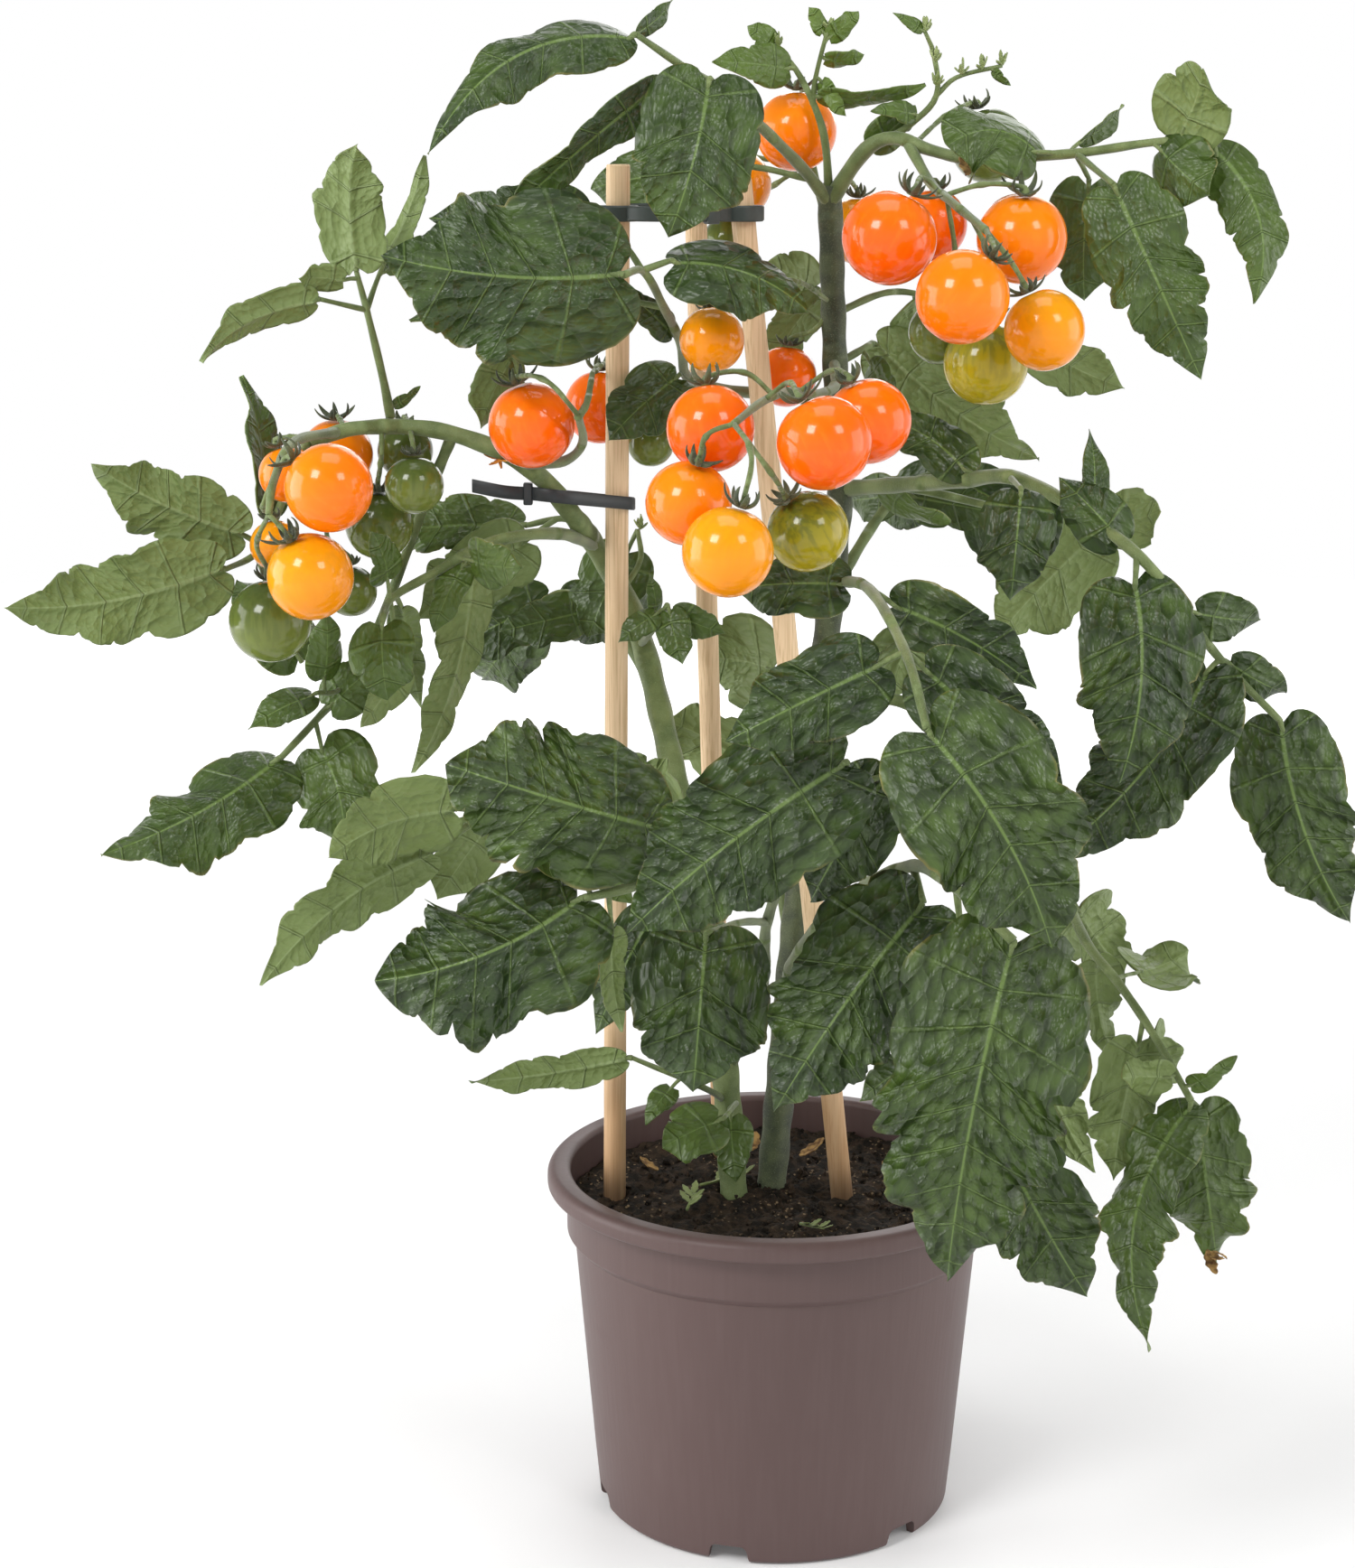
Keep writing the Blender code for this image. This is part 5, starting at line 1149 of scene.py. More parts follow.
# -------- stalks and stems
class Way:
    """A smooth line through a few points, with its radius all along."""

    def __init__(self, path: list, radii: list[float], step: float = 2.5) -> None:
        """Smooth the line.

        Args:
            path: the points that it passes.
            radii: the radius at each of them.
            step: the spacing of its rings.
        """
        knots = np.array(path, float)
        ahead = np.vstack([2 * knots[0] - knots[1], knots, 2 * knots[-1] - knots[-2]])
        places, sizes = [], []
        for index in range(len(knots) - 1):
            before, start, end, after = ahead[index:index + 4]
            reach = np.linalg.norm(end - start)
            count = max(2, int(round(reach / step)))
            leave = unit(end - before) * reach
            arrive = unit(after - start) * reach
            for part in range(count):
                t = part / count
                places.append(start * (2 * t ** 3 - 3 * t ** 2 + 1) + leave * (t ** 3 - 2 * t ** 2 + t)
                              + end * (3 * t ** 2 - 2 * t ** 3) + arrive * (t ** 3 - t ** 2))
                sizes.append(radii[index] + (radii[index + 1] - radii[index]) * t)
        places.append(knots[-1])
        sizes.append(radii[-1])
        self.points, self.radii = np.array(places), np.array(sizes)
        self.along = unit(np.gradient(self.points, axis=0))
        seed = np.array((0.0, 0.0, 1.0)) if abs(self.along[0][2]) < 0.9 else np.array((1.0, 0.0, 0.0))
        across = []
        for along in self.along:
            seed = unit(seed - along * np.dot(seed, along))
            across.append(seed)
        self.across = np.array(across)
        self.other = np.cross(self.along, self.across)

    def nearest(self, point: Array) -> Array:
        """The line's closest point to a place."""
        return self.points[np.argmin(np.linalg.norm(self.points - point, axis=1))]

    def pipe(self, sides: int, paint: int, ribbed: float = 0.0) -> Mesh:
        """Make the round stalk along the line.

        Args:
            sides: faces round it.
            paint: which finish it takes.
            ribbed: depth of its long ribs, as a share of the radius.

        Returns:
            The mesh.
        """
        stencil = Stencils.pipe(sides, len(self.points) - 1)
        x, y, z = points_of(stencil).T
        ring, turn = np.rint(z).astype(int), np.arctan2(y, x)
        swell = 1.0 + ribbed * np.cos(5 * turn + 0.05 * ring) + 0.05 * np.sin(ring * 0.9)
        out = self.across[ring] * x[:, None] + self.other[ring] * y[:, None]
        places = self.points[ring] + (self.radii[ring] * swell)[:, None] * out
        return moulded(stencil, places, paint)


# -------- leaf blades
class Leafage(Enum):
    """How a spray's blades look: freshness, height of blisters, depth of teeth, and ruffle."""

    QUILTED = (0.03, 1.5, 0.13, 1.0)
    DARK = (0.08, 1.0, 0.14, 1.0)
    MIDDLING = (0.28, 0.62, 0.24, 1.1)
    FRESH = (0.60, 0.55, 0.22, 1.2)
    LOBED = (0.05, 1.4, 0.25, 1.2)
    WITHERED = (0.42, 0.8, 0.42, 2.4)


@dataclass(frozen=True)
class BladeShape:
    """Sizes that all leaf blades share.

    rise and curl are those of the solids, and a tooth stands on each side vein.  slabs gives the
    columns and rows of points of a leaflet longer than so much.  Blades narrower than full_width
    are thinner, and midribs of those shorter than full_length are finer.
    """

    slabs: tuple[tuple[float, int, int], ...] = ((50, 30, 72), (30, 20, 42), (18, 14, 26), (0, 8, 14))
    thickness: float = 0.55
    full_width: float = 18.0
    full_length: float = 60.0
    rise: float = 0.42
    curl: float = -0.15
    tooth_spread: float = 0.85
    tooth_pitch: float = 12.5
    small_teeth: float = 0.22
    lobe_lean: tuple[float, float, float, float] = (-62.0, 100.0, 0.28, -24.0)
    tip_taper: float = 0.22
    tip_droop: float = 0.10
    lobe_depth: float = 0.16
    lobe_ribs: float = 2.3
    blister_pitch: float = 5.2
    blistered_width: float = 34.0
    rib_width: float = 1.2
    rib_height: float = 1.0
    groove: float = 0.45
    ruffle: float = 0.075
    ruffle_ribs: float = 0.42
    sway: float = 0.02
    sway_turns: float = 1.3
    young_length: float = 40.0
    young_freshness: float = 0.25
    mixed_freshness: float = 0.3


BLADES = BladeShape()


class Blade:
    """A leaflet in place, whose finer surface follows the same rule as its solid."""

    def __init__(self, leaf: Leaflet, stalk: Stalk, look: Leafage) -> None:
        """Place the leaflet and turn its face to the window.

        Args:
            leaf: the leaflet of the plan.
            stalk: the stalk that it grows on.
            look: how it looks.
        """
        heading, lean = math.radians(leaf.heading), math.radians(leaf.lean)
        self.leaf = leaf
        self.axis = np.array((math.sin(heading) * math.cos(lean), -math.sin(lean),
                              math.cos(heading) * math.cos(lean)))
        self.root = point_along(stalk.path, leaf.at)
        self.base = self.root + self.axis * leaf.stem
        light = np.array(LIGHT) - (self.base + self.axis * leaf.length / 2)
        face = unit(light - self.axis * np.dot(light, self.axis))
        roll = math.radians(leaf.roll)
        self.face = face * math.cos(roll) + np.cross(self.axis, face) * math.sin(roll)
        self.seed = scatter(*self.root)
        self.teeth = max(2, round(leaf.length / BLADES.tooth_pitch))
        freshness, self.blister, self.tooth_depth, self.ruffle = look.value
        self.blister *= min(1.0, leaf.width / BLADES.blistered_width)
        young = max(0.0, 1.0 - leaf.length / BLADES.young_length)
        self.freshness = min(1.0, max(0.0, freshness + BLADES.mixed_freshness * (self.seed - 0.5)
                                      + BLADES.young_freshness * young))

    def stencil(self) -> Mesh:
        """The slab with as many points as the leaflet's length asks for."""
        return next(Stencils.slab(columns, rows) for least, columns, rows in BLADES.slabs
                    if self.leaf.length > least)

    def blisters(self, across: Array, along: Array, half: Array) -> Array:
        """Work out the puckered surface between the veins.

        Args:
            across: the way from the midrib, -1 and 1 at the edges.
            along: the way from base to tip, from 0 to 1.
            half: half the blade's width there.

        Returns:
            The height, from -0.4 to 0.6.
        """
        wobble = 0.14 * np.sin(5.3 * across + 9 * self.seed) + 0.09 * np.sin(23 * along + 4 * across)
        ribs = self.teeth * along ** BLADES.tooth_spread
        gap = np.abs(np.cos(np.pi * (ribs + wobble * np.abs(across))))
        cells = half / BLADES.blister_pitch
        shift = 0.5 * np.floor(ribs + 0.5) + 0.25 * np.sin(17 * along + 6 * self.seed)
        cross = np.abs(np.sin(np.pi * (cells * np.abs(across) ** 0.85 + shift)))
        middle = 1.0 - np.exp(-(across * half / 3.0) ** 2)
        return (gap ** 0.6 * (0.35 + 0.65 * cross ** 0.6) - 0.4) * middle

    def edge(self, across: Array, along: Array, ribs: Array) -> Array:
        """Work out the scalloped edge.

        Args:
            across: the way from the midrib, -1 and 1 at the edges.
            along: the way from base to tip, from 0 to 1.
            ribs: the count of side veins up to there.

        Returns:
            Half the blade's width all over it.
        """
        leaf, shape, side = self.leaf, BLADES, np.sign(across)
        peak = shape.rise / (shape.rise + leaf.fall)
        widest = peak ** shape.rise * (1 - peak) ** leaf.fall
        outline = along ** shape.rise * (1 - along) ** (leaf.fall + shape.tip_taper) / widest
        slant = ribs + 0.10 * np.sin(2 * np.pi * ribs) + 0.06 * side
        tooth = np.abs(np.sin(np.pi * slant)) ** 0.7 - 0.62
        fine = shape.small_teeth * (np.abs(np.sin(3 * np.pi * slant)) - 0.6)
        vary = 0.35 + 1.1 * np.sin(7 * self.seed + 2.1 * np.floor(slant) + side) ** 2
        lobe = np.sin(2 * np.pi * (ribs / shape.lobe_ribs + 2 * self.seed + 0.3 * side))
        ragged = self.tooth_depth * (tooth * vary + fine) + shape.lobe_depth * lobe * along
        fade = np.sin(np.pi * along) ** 0.5
        return leaf.width / 2 * outline * (1 + ragged * fade * np.abs(across) ** 3)

    def surface(self, grid: Array) -> tuple[Array, Array, Array]:
        """Work out the places of the slab's points.

        Args:
            grid: the slab's points.

        Returns:
            The places, and the marks "blade" and "rib" for the leaf finish.
        """
        leaf, shape = self.leaf, BLADES
        across, level, even = grid[:, 0], grid[:, 2], (grid[:, 1] + 1) / 2
        along = np.clip(0.35 * (1 - np.cos(np.pi * even)) / 2 + 0.65 * even, 1e-4, 1 - 1e-4)
        bow, slope = 4 * along * (1 - along), 4 * (1 - 2 * along)
        bent = self.face * leaf.arch + np.cross(self.face, self.axis) * leaf.swing
        middle = self.base + leaf.length * (along[:, None] * self.axis + bow[:, None] * bent)
        tangent = unit(self.axis + slope[:, None] * bent)
        normal = unit(self.face - tangent * (tangent @ self.face)[:, None])
        sideways = np.cross(normal, tangent)

        side = np.sign(across)
        ribs = self.teeth * along ** shape.tooth_spread
        half = self.edge(across, along, ribs)
        reach = np.abs(across) * half
        start, turn, share, end = shape.lobe_lean
        lean = np.radians(start + turn * np.minimum(along / share, 1.0) ** 0.7 + end * along)
        out = (sideways * (side * np.cos(lean))[:, None]) + tangent * np.sin(lean)[:, None]

        fade = np.sin(np.pi * along) ** 0.5
        lift = (leaf.fold + shape.curl * np.abs(across)) * reach
        lift += (shape.ruffle * self.ruffle * leaf.width * across ** 2 * fade
                 * np.sin(2 * np.pi * (shape.ruffle_ribs * ribs + self.seed + 0.31 * side)))
        lift -= shape.tip_droop * leaf.length * along ** 4 * (self.seed - 0.25)
        lift += (shape.sway * leaf.length * across
                 * np.sin(2 * np.pi * (shape.sway_turns * along + self.seed)))
        lift += self.blister * self.blisters(across, along, half) * (1 - across ** 6) * fade
        lift += shape.thickness * min(1.0, leaf.width / shape.full_width) * (level - 0.5)
        size = min(1.0, leaf.length / shape.full_length)
        rib = np.exp(-(reach / (shape.rib_width * size)) ** 2) * (1 - 0.75 * along) * size
        lift -= rib * np.where(level > 0.5, shape.groove, shape.rib_height)
        places = middle + out * reach[:, None] + normal * lift[:, None]
        slender = 1.0 / (size * (1.12 - along))
        return (places, np.stack((across * half, ribs, level), axis=1),
                np.stack((slender, np.abs(across), along), axis=1))

    def mesh(self, paint: int) -> Mesh:
        """Make the blade with the leaf finish's marks.

        Args:
            paint: which finish it takes.

        Returns:
            The mesh.
        """
        stencil = self.stencil()
        places, blade, rib = self.surface(points_of(stencil))
        quilt = min(1.0, self.blister / 1.3)
        growth = np.tile((self.freshness, self.leaf.length / self.teeth, quilt), (len(blade), 1))
        return moulded(stencil, places, paint, {"blade": blade, "growth": growth, "rib": rib})


# -------- fruit and calyx
@dataclass(frozen=True)
class Calyx:
    """The star of sepals on a tomato, with the bent stalk that carries the fruit.

    length and width are those of a sepal on a tomato of full_radius.  bend gives the least bend of
    a sepal in radians and how much more some have.
    """

    sepals: int = 7
    length: float = 10.4
    width: float = 2.9
    thickness: float = 0.8
    bend: tuple[float, float] = (0.9, 1.5)
    twist: float = 0.5
    lift: float = 0.5
    hub: float = 2.2
    pedicel: float = 0.85
    foot: float = 2.1
    knuckle: float = 1.35
    knuckle_at: float = 0.55
    full_radius: float = 15.0
    seed: Point = (0.31, 0.17, 0.93)

    def parts(self, fruit: Tomato, way: Way, paint: int) -> list[Mesh]:
        """Make one tomato's calyx and pedicel.

        Args:
            fruit: the tomato.
            way: the stalk that carries it.
            paint: which finish the pedicel takes; the sepals take the next.

        Returns:
            The meshes.
        """
        centre, up = np.array(fruit.centre, float), unit(np.array(fruit.up, float))
        across = unit(np.cross(up, self.seed))
        other = np.cross(up, across)
        seat = centre + up * (fruit.radius * 0.985 + self.lift)
        size = fruit.radius / self.full_radius
        least, more = self.bend
        meshes = []
        for sepal in range(self.sepals):
            point = 2 * sepal
            angle = math.pi * (point + 0.3 * math.sin(7 * point)) / self.sepals
            out = across * math.cos(angle) + other * math.sin(angle)
            bend = least + more * scatter(fruit.centre[0], point)
            long = self.length * (0.85 + 0.3 * scatter(fruit.centre[2], sepal))
            twist = self.twist * math.sin(3 * sepal + fruit.centre[1])
            meshes.append(self.sepal(seat, out, up, size * long, bend, twist, paint + 1))
        path = [seat - up * 0.4, seat + up * self.hub]
        path += [np.array(point, float) for point in fruit.via[::-1]]
        path.append(way.nearest(path[-1]))
        line = Way(path, [self.pedicel * self.foot * size] + [self.pedicel] * (len(path) - 1), 1.2)
        share = np.linspace(0.0, 1.0, len(line.points))
        line.radii *= 1 + (self.knuckle - 1) * np.exp(-((share - self.knuckle_at) / 0.05) ** 2)
        return meshes + [line.pipe(8, paint)]

    def sepal(self, seat: Array, out: Array, up: Array, length: float, bend: float, twist: float,
              paint: int) -> Mesh:
        """Make one narrow sepal that springs from the fruit's top and bends up.

        Args:
            seat: where it springs from.
            out: its way outwards.
            up: the fruit's way up.
            length: its length.
            bend: its bend in radians.
            twist: how far its tip swings aside.
            paint: which finish it takes.

        Returns:
            The mesh.
        """
        stencil = Stencils.slab(4, 12)
        across, along, level = points_of(stencil).T
        run = (along + 1) / 2
        reach = across * self.width / 2 * (run + 0.12) ** 0.35 * (1 - run) ** 0.75 * 1.3
        angle = bend * run ** 1.3 - 0.25
        thick = self.thickness * (1 - 0.6 * run) * (level - 0.5) + 0.35 * np.abs(reach)
        away = length * np.sin(bend * run) / bend - thick * np.sin(angle)
        height = length * (1 - np.cos(bend * run)) / bend - 1.2 * run + thick * np.cos(angle)
        aside = reach + twist * length * 0.25 * run ** 2
        ways = np.array((out, up, np.cross(up, out)))
        return moulded(stencil, seat + np.stack((away, height, aside), axis=1) @ ways, paint)


@dataclass(frozen=True)
class Truss:
    """The tomatoes themselves, each a glossy ball with a dimple under its calyx.

    dimple and dent, which is at the tip, are a depth as a share of the radius and a width in
    radians.  squat is the least height and how much more some have, as shares of the width.
    """

    around: int = 40
    bands: int = 26
    dimple: tuple[float, float] = (0.055, 0.28)
    dent: tuple[float, float] = (0.012, 0.2)
    ridges: float = 0.008
    squat: tuple[float, float] = (0.965, 0.05)

    def build(self, finishes: dict[str, Material]) -> None:
        """Make every tomato as a piece of its own.

        Args:
            finishes: the skin for each ripeness.
        """
        stencil = Stencils.ball(self.around, self.bands)
        ball = points_of(stencil)
        height, turn = ball[:, 2], np.arctan2(ball[:, 1], ball[:, 0])
        low = np.arccos(np.clip(height, -1, 1))
        dents = (self.dimple[0] * np.exp(-(low / self.dimple[1]) ** 2)
                 + self.dent[0] * np.exp(-((math.pi - low) / self.dent[1]) ** 2))
        for name, fruit in TOMATOES.items():
            seed = scatter(*fruit.centre)
            tilt = Vector((0.0, 0.0, 1.0)).rotation_difference(Vector(fruit.up)).to_matrix()
            lobes = np.cos((4 + round(seed)) * turn) * np.sin(low)
            ridges = self.ridges * lobes * np.maximum(height, 0)
            stretch = np.array((1.0, 1.0, self.squat[0] + self.squat[1] * seed))
            form = (ball * stretch * (1 - dents + ridges)[:, None]) @ np.array(tilt).T
            piece = Piece(f"fruit_{name.removeprefix('tomato_')}", finishes[fruit.ripeness])
            piece.add(moulded(stencil, fruit.centre + fruit.radius * form, 0,
                              {"skin": ball + (seed * 0.3, seed * 0.2, 0.0)}))
            piece.done(f"tomato_{fruit.ripeness}", name)


# -------- the plant
@dataclass(frozen=True)
class Greenery:
    """The plant's stems and sprays with their leaflets and calyxes.

    Sprays that looks doesn't name are middling.
    """

    calyx: Calyx = Calyx()
    least_stem: float = 1.0
    looks: tuple[tuple[Leafage, tuple[str, ...]], ...] = (
        (Leafage.QUILTED, ("frond_centre", "frond_centre_low", "frond_right")),
        (Leafage.LOBED, ("frond_low_right", "frond_low_left")),
        (Leafage.DARK, ("frond_upper_left", "frond_crown_left", "frond_back_left", "frond_back_right")),
        (Leafage.FRESH, ("frond_left_pale", "stem_right")),
        (Leafage.WITHERED, ("frond_drooping_right",)),
    )

    def build(self, *finishes: Material) -> None:
        """Make each spray as one piece.

        Args:
            finishes: those of the blades, of young stems and stalks, and the darker one of the
                right-hand main stem, partly its own colour and partly painted shade, which the sepals
                also take as their own dark green.
        """
        looks = {name: look for look, names in self.looks for name in names}
        for name, stalks in PLAN.items():
            piece = Piece(name.replace("frond", "spray").replace("stem", "main_stem"), *finishes)
            for line in stalks:
                self.dress(piece, line, looks.get(name, Leafage.MIDDLING))
            piece.done("foliage", name)

    def dress(self, piece: Piece, line: Stalk, look: Leafage) -> None:
        """Add one stalk with what it carries.

        Args:
            piece: the spray that it belongs to.
            line: the stalk.
            look: how its blades look.
        """
        way = Way(line.path, list(np.linspace(line.thick, line.thin, len(line.path))))
        main = line in MAIN_STEMS
        # the right-hand main stem takes the darker finish, partly its own colour and partly painted
        # shade
        piece.add(way.pipe(20 if main else 10, 2 if line is STEM_RIGHT else 1, 0.045 if main else 0.06))
        for leaf in line.leaflets:
            blade = Blade(leaf, line, look)
            piece.add(blade.mesh(0))
            if leaf.stem >= self.least_stem:
                piece.add(self.petiole(blade, way.nearest(blade.root)))
        for fruit in line.fruit:
            piece.add(*self.calyx.parts(TOMATOES[fruit], way, 1))

    def petiole(self, blade: Blade, start: Array) -> Mesh:
        """Make a leaflet's own short stalk.

        Args:
            blade: the leaflet.
            start: where it leaves the main stalk.

        Returns:
            The mesh.
        """
        size = 0.55 + min(0.45, blade.leaf.length / 130)
        tip = blade.base + blade.axis * min(2.5, blade.leaf.length / 8)
        between = (start + blade.base) / 2 + np.array((0.0, 0.0, 0.3))
        radii = [size * 1.15, size, size, size * 0.7]
        return Way([start, between, blade.base, tip], radii, 1.5).pipe(8, 1)


# -------- pot, soil and canes
def turned(profile: list[tuple[float, float]], steps: int) -> Form:
    """Spin an outline about the pot's axis.

    Args:
        profile: radius and height of each point, from the axis or closed on itself.
        steps: faces round it.

    Returns:
        The closed shape, in millimetres.
    """
    bm = bmesh.new()
    points = [bm.verts.new((radius, 0.0, height)) for radius, height in profile]
    edges = [bm.edges.new(pair) for pair in zip(points, points[1:])]
    if profile[0][0] > 0 or profile[-1][0] > 0:
        edges.append(bm.edges.new((points[-1], points[0])))
    bmesh.ops.spin(bm, geom=points + edges, cent=(0, 0, 0), axis=(0, 0, 1), angle=2 * math.pi,
                   steps=steps, use_merge=True)
    bmesh.ops.remove_doubles(bm, verts=bm.verts, dist=0.001)
    bmesh.ops.recalc_face_normals(bm, faces=bm.faces)
    return bm


def block(size: Point, bevel: float = 0.0, segments: int = 2) -> Form:
    """Make a box about the origin, with rounded edges where bevel isn't zero.

    Args:
        size: its size along each axis.
        bevel: how far the rounding reaches.
        segments: the rounding's faces.

    Returns:
        The box, in millimetres.
    """
    bm = bmesh.new()
    bmesh.ops.create_cube(bm, size=1.0)
    bmesh.ops.scale(bm, vec=size, verts=bm.verts)
    if bevel:
        round_off(bm, list(bm.edges), bevel, segments)
    return bm


def round_off(bm: Form, edges: list[bmesh.types.BMEdge], bevel: float, segments: int) -> None:
    """Round some of a shape's edges, as far as bevel, with so many faces."""
    bmesh.ops.bevel(bm, geom=edges, offset=bevel, segments=segments, profile=0.5, affect="EDGES",
                    material=-1)


def carved(base: Mesh, others: list[Mesh], operation: str) -> Mesh:
    """Join shapes to a base or take them out of it.

    Args:
        base: the shape that is changed.
        others: the shapes that change it.
        operation: UNION or DIFFERENCE.

    Returns:
        The new shape.
    """
    target = in_scene("carved", base)
    tools = [in_scene("tool", other) for other in others]
    for tool in tools:
        change = target.modifiers.new("carve", "BOOLEAN")
        change.operation, change.object, change.solver = operation, tool, "MANIFOLD"
    shape = target.evaluated_get(bpy.context.evaluated_depsgraph_get())
    result = bpy.data.meshes.new_from_object(shape)
    for used in [target] + tools:
        bpy.data.objects.remove(used)
    for used in [base] + others:
        bpy.data.meshes.remove(used)
    return result


def arc(radius: float, height: float, size: float, start: float, end: float, count: int = 6) -> list:
    """Points of an outline's rounded corner, by its centre and size, from start to end degrees."""
    angles = np.radians(np.linspace(start, end, count))
    return [(radius + size * math.cos(angle), height + size * math.sin(angle)) for angle in angles]


@dataclass(frozen=True)
class Pot:
    """The moulded nursery pot and the soil in it.

    The foot, ledge, collar and lip radii are those of rounded edges.  crumb gives the least radius
    of a loose crumb and how much more the largest has.
    """

    height: float = 130.0
    rim: float = 85.0
    base: float = 66.0
    collar: float = 77.8
    step_height: float = 106.0
    step: float = 2.6
    slope: float = 3.0
    lip: float = 7.5
    wall: float = 1.6
    foot_radius: float = 2.2
    ledge_radius: float = 0.6
    collar_radius: float = 1.2
    lip_radii: tuple[float, float, float] = (2.0, 3.2, 2.2)
    channel: float = 7.0
    channel_radii: tuple[float, float] = (46.0, 62.0)
    notches: int = 6
    notch_depth: float = 16.0
    notch_width: float = 18.0
    notch_taper: float = 0.72
    notch_corner: float = 2.2
    notch_start: float = 254.0
    sides: int = 144
    soil_sides: int = 150
    soil_rings: int = 44
    soil_gap: float = 0.3
    crumbs: int = 620
    crumb: tuple[float, float] = (0.5, 1.5)

    def wall_radius(self, height: float) -> float:
        """Outer radius below the step."""
        return self.base + (self.collar - self.step - self.base) * height / self.step_height

    def outline(self) -> list[tuple[float, float]]:
        """Draw the wall from the middle of the underside outwards and back inside.

        Returns:
            The points, as radius and height.
        """
        inner, outer = self.channel_radii
        floor, ledge = self.channel + self.wall, self.step_height - self.slope
        lip, skin, bend = self.height - self.lip, self.collar - self.wall, self.collar_radius
        turn, (under, over, inside) = self.ledge_radius, self.lip_radii
        points = [(0.0, 0.0), (inner, 0.0), (inner, self.channel), (outer, self.channel), (outer, 0.0)]
        points += arc(self.base - self.foot_radius, self.foot_radius, self.foot_radius, -90, 0)
        points += [(self.wall_radius(height), height) for height in (20.0, 60.0, ledge)]
        points += [(self.collar - 0.8, self.step_height - 1.0)]
        points += arc(self.collar - turn, self.step_height + 0.2, turn, -30, 0, 3)
        points += [(self.collar, lip - bend)]
        points += arc(self.collar + bend, lip - bend, bend, 180, 90, 5)[1:]
        points += arc(self.rim - under, lip + under, under, -90, 0)
        points += arc(self.rim - over, self.height - over, over, 0, 90, 8)
        points += arc(skin + inside, self.height - inside, inside, 90, 180)
        points += [(skin, self.step_height), (self.wall_radius(ledge) - self.wall, ledge)]
        points += [(self.wall_radius(floor) - self.wall, floor), (inner - self.wall, floor)]
        return points + [(inner - self.wall, self.wall), (0.0, self.wall)]

    def notch(self, angle: float) -> Mesh:
        """Make what one drainage notch takes away: a block with a narrower, rounded top.

        Args:
            angle: its place round the pot in radians.

        Returns:
            The mesh.
        """
        bm = block((self.notch_depth, self.notch_width, 2 * self.channel - 1.0))
        for vert in bm.verts:
            if vert.co.z > 0:
                vert.co.y *= self.notch_taper
        top = [edge for edge in bm.edges if all(vert.co.z > 0 for vert in edge.verts)
               and abs(edge.verts[0].co.y - edge.verts[1].co.y) < 0.1]
        round_off(bm, top, self.notch_corner, 5)
        return as_mesh(bm, (self.base - 2.0) * towards(angle), angle)

    def build_pot(self, finish: Material) -> None:
        """Make the pot with its drainage notches.

        Args:
            finish: its plastic.
        """
        notches = [self.notch(math.radians(self.notch_start + 360 * index / self.notches))
                   for index in range(self.notches)]
        piece = Piece("pot_shell", finish)
        piece.add(carved(as_mesh(turned(self.outline(), self.sides)), notches, "DIFFERENCE"))
        piece.done("pot_plastic", "pot", crease=32.0, weld=0.001)

    def build_soil(self, peat: Material) -> None:
        """Make the root ball with its crumbly top and loose crumbs.

        Args:
            peat: its finish.
        """
        gap = self.wall + self.soil_gap
        floor, ledge, edge = self.channel + gap, self.step_height - self.slope, self.collar - gap
        outline = [(0.0, floor), (self.wall_radius(floor) - gap, floor),
                   (self.wall_radius(ledge) - gap, ledge), (edge, self.step_height + self.soil_gap),
                   (edge, SOIL_LEVEL - 1.0)]
        outline += [(radius, SOIL_LEVEL) for radius in np.linspace(edge - 0.8, 0.0, self.soil_rings)]
        bm = turned(outline, self.soil_sides)
        for vert in bm.verts:
            if vert.co.z > SOIL_LEVEL - 2.0:
                vert.co.z += self.roughness(vert.co.x, vert.co.y)
        piece = Piece("soil_top", peat)
        piece.add(as_mesh(bm))
        for index in range(self.crumbs):
            turn, share = 2 * math.pi * scatter(index, 1), math.sqrt(scatter(index, 2))
            x, y, _ = (edge - 2.0) * share * towards(turn)
            least, more = self.crumb
            crumb = bmesh.new()
            size = least + more * scatter(index, 3) ** 3
            bmesh.ops.create_icosphere(crumb, subdivisions=1, radius=size)
            for vert in crumb.verts:
                vert.co *= 0.7 + 0.6 * scatter(vert.co.x, vert.co.y, vert.co.z, index)
            piece.add(as_mesh(crumb, (x, y, SOIL_LEVEL + self.roughness(x, y) + 0.3)))
        piece.done("potting_soil", "soil", crease=50.0, weld=0.0005)

    def roughness(self, x: float, y: float) -> float:
        """Work out the rise and fall of the soil's top.

        Args:
            x: a place's distance to the right.
            y: its distance to the back.

        Returns:
            The rise.
        """
        broad = math.sin(0.21 * x + 1.3) * math.cos(0.17 * y)
        fine = math.sin(0.5 * x - 0.4 * y) + 0.6 * math.sin(1.1 * x + 0.7 * y)
        clods = math.sin(2.3 * x - 1.9 * y) * math.sin(1.7 * x + 2.6 * y + 1.0)
        return 0.9 * broad + 0.6 * fine + 0.6 * clods


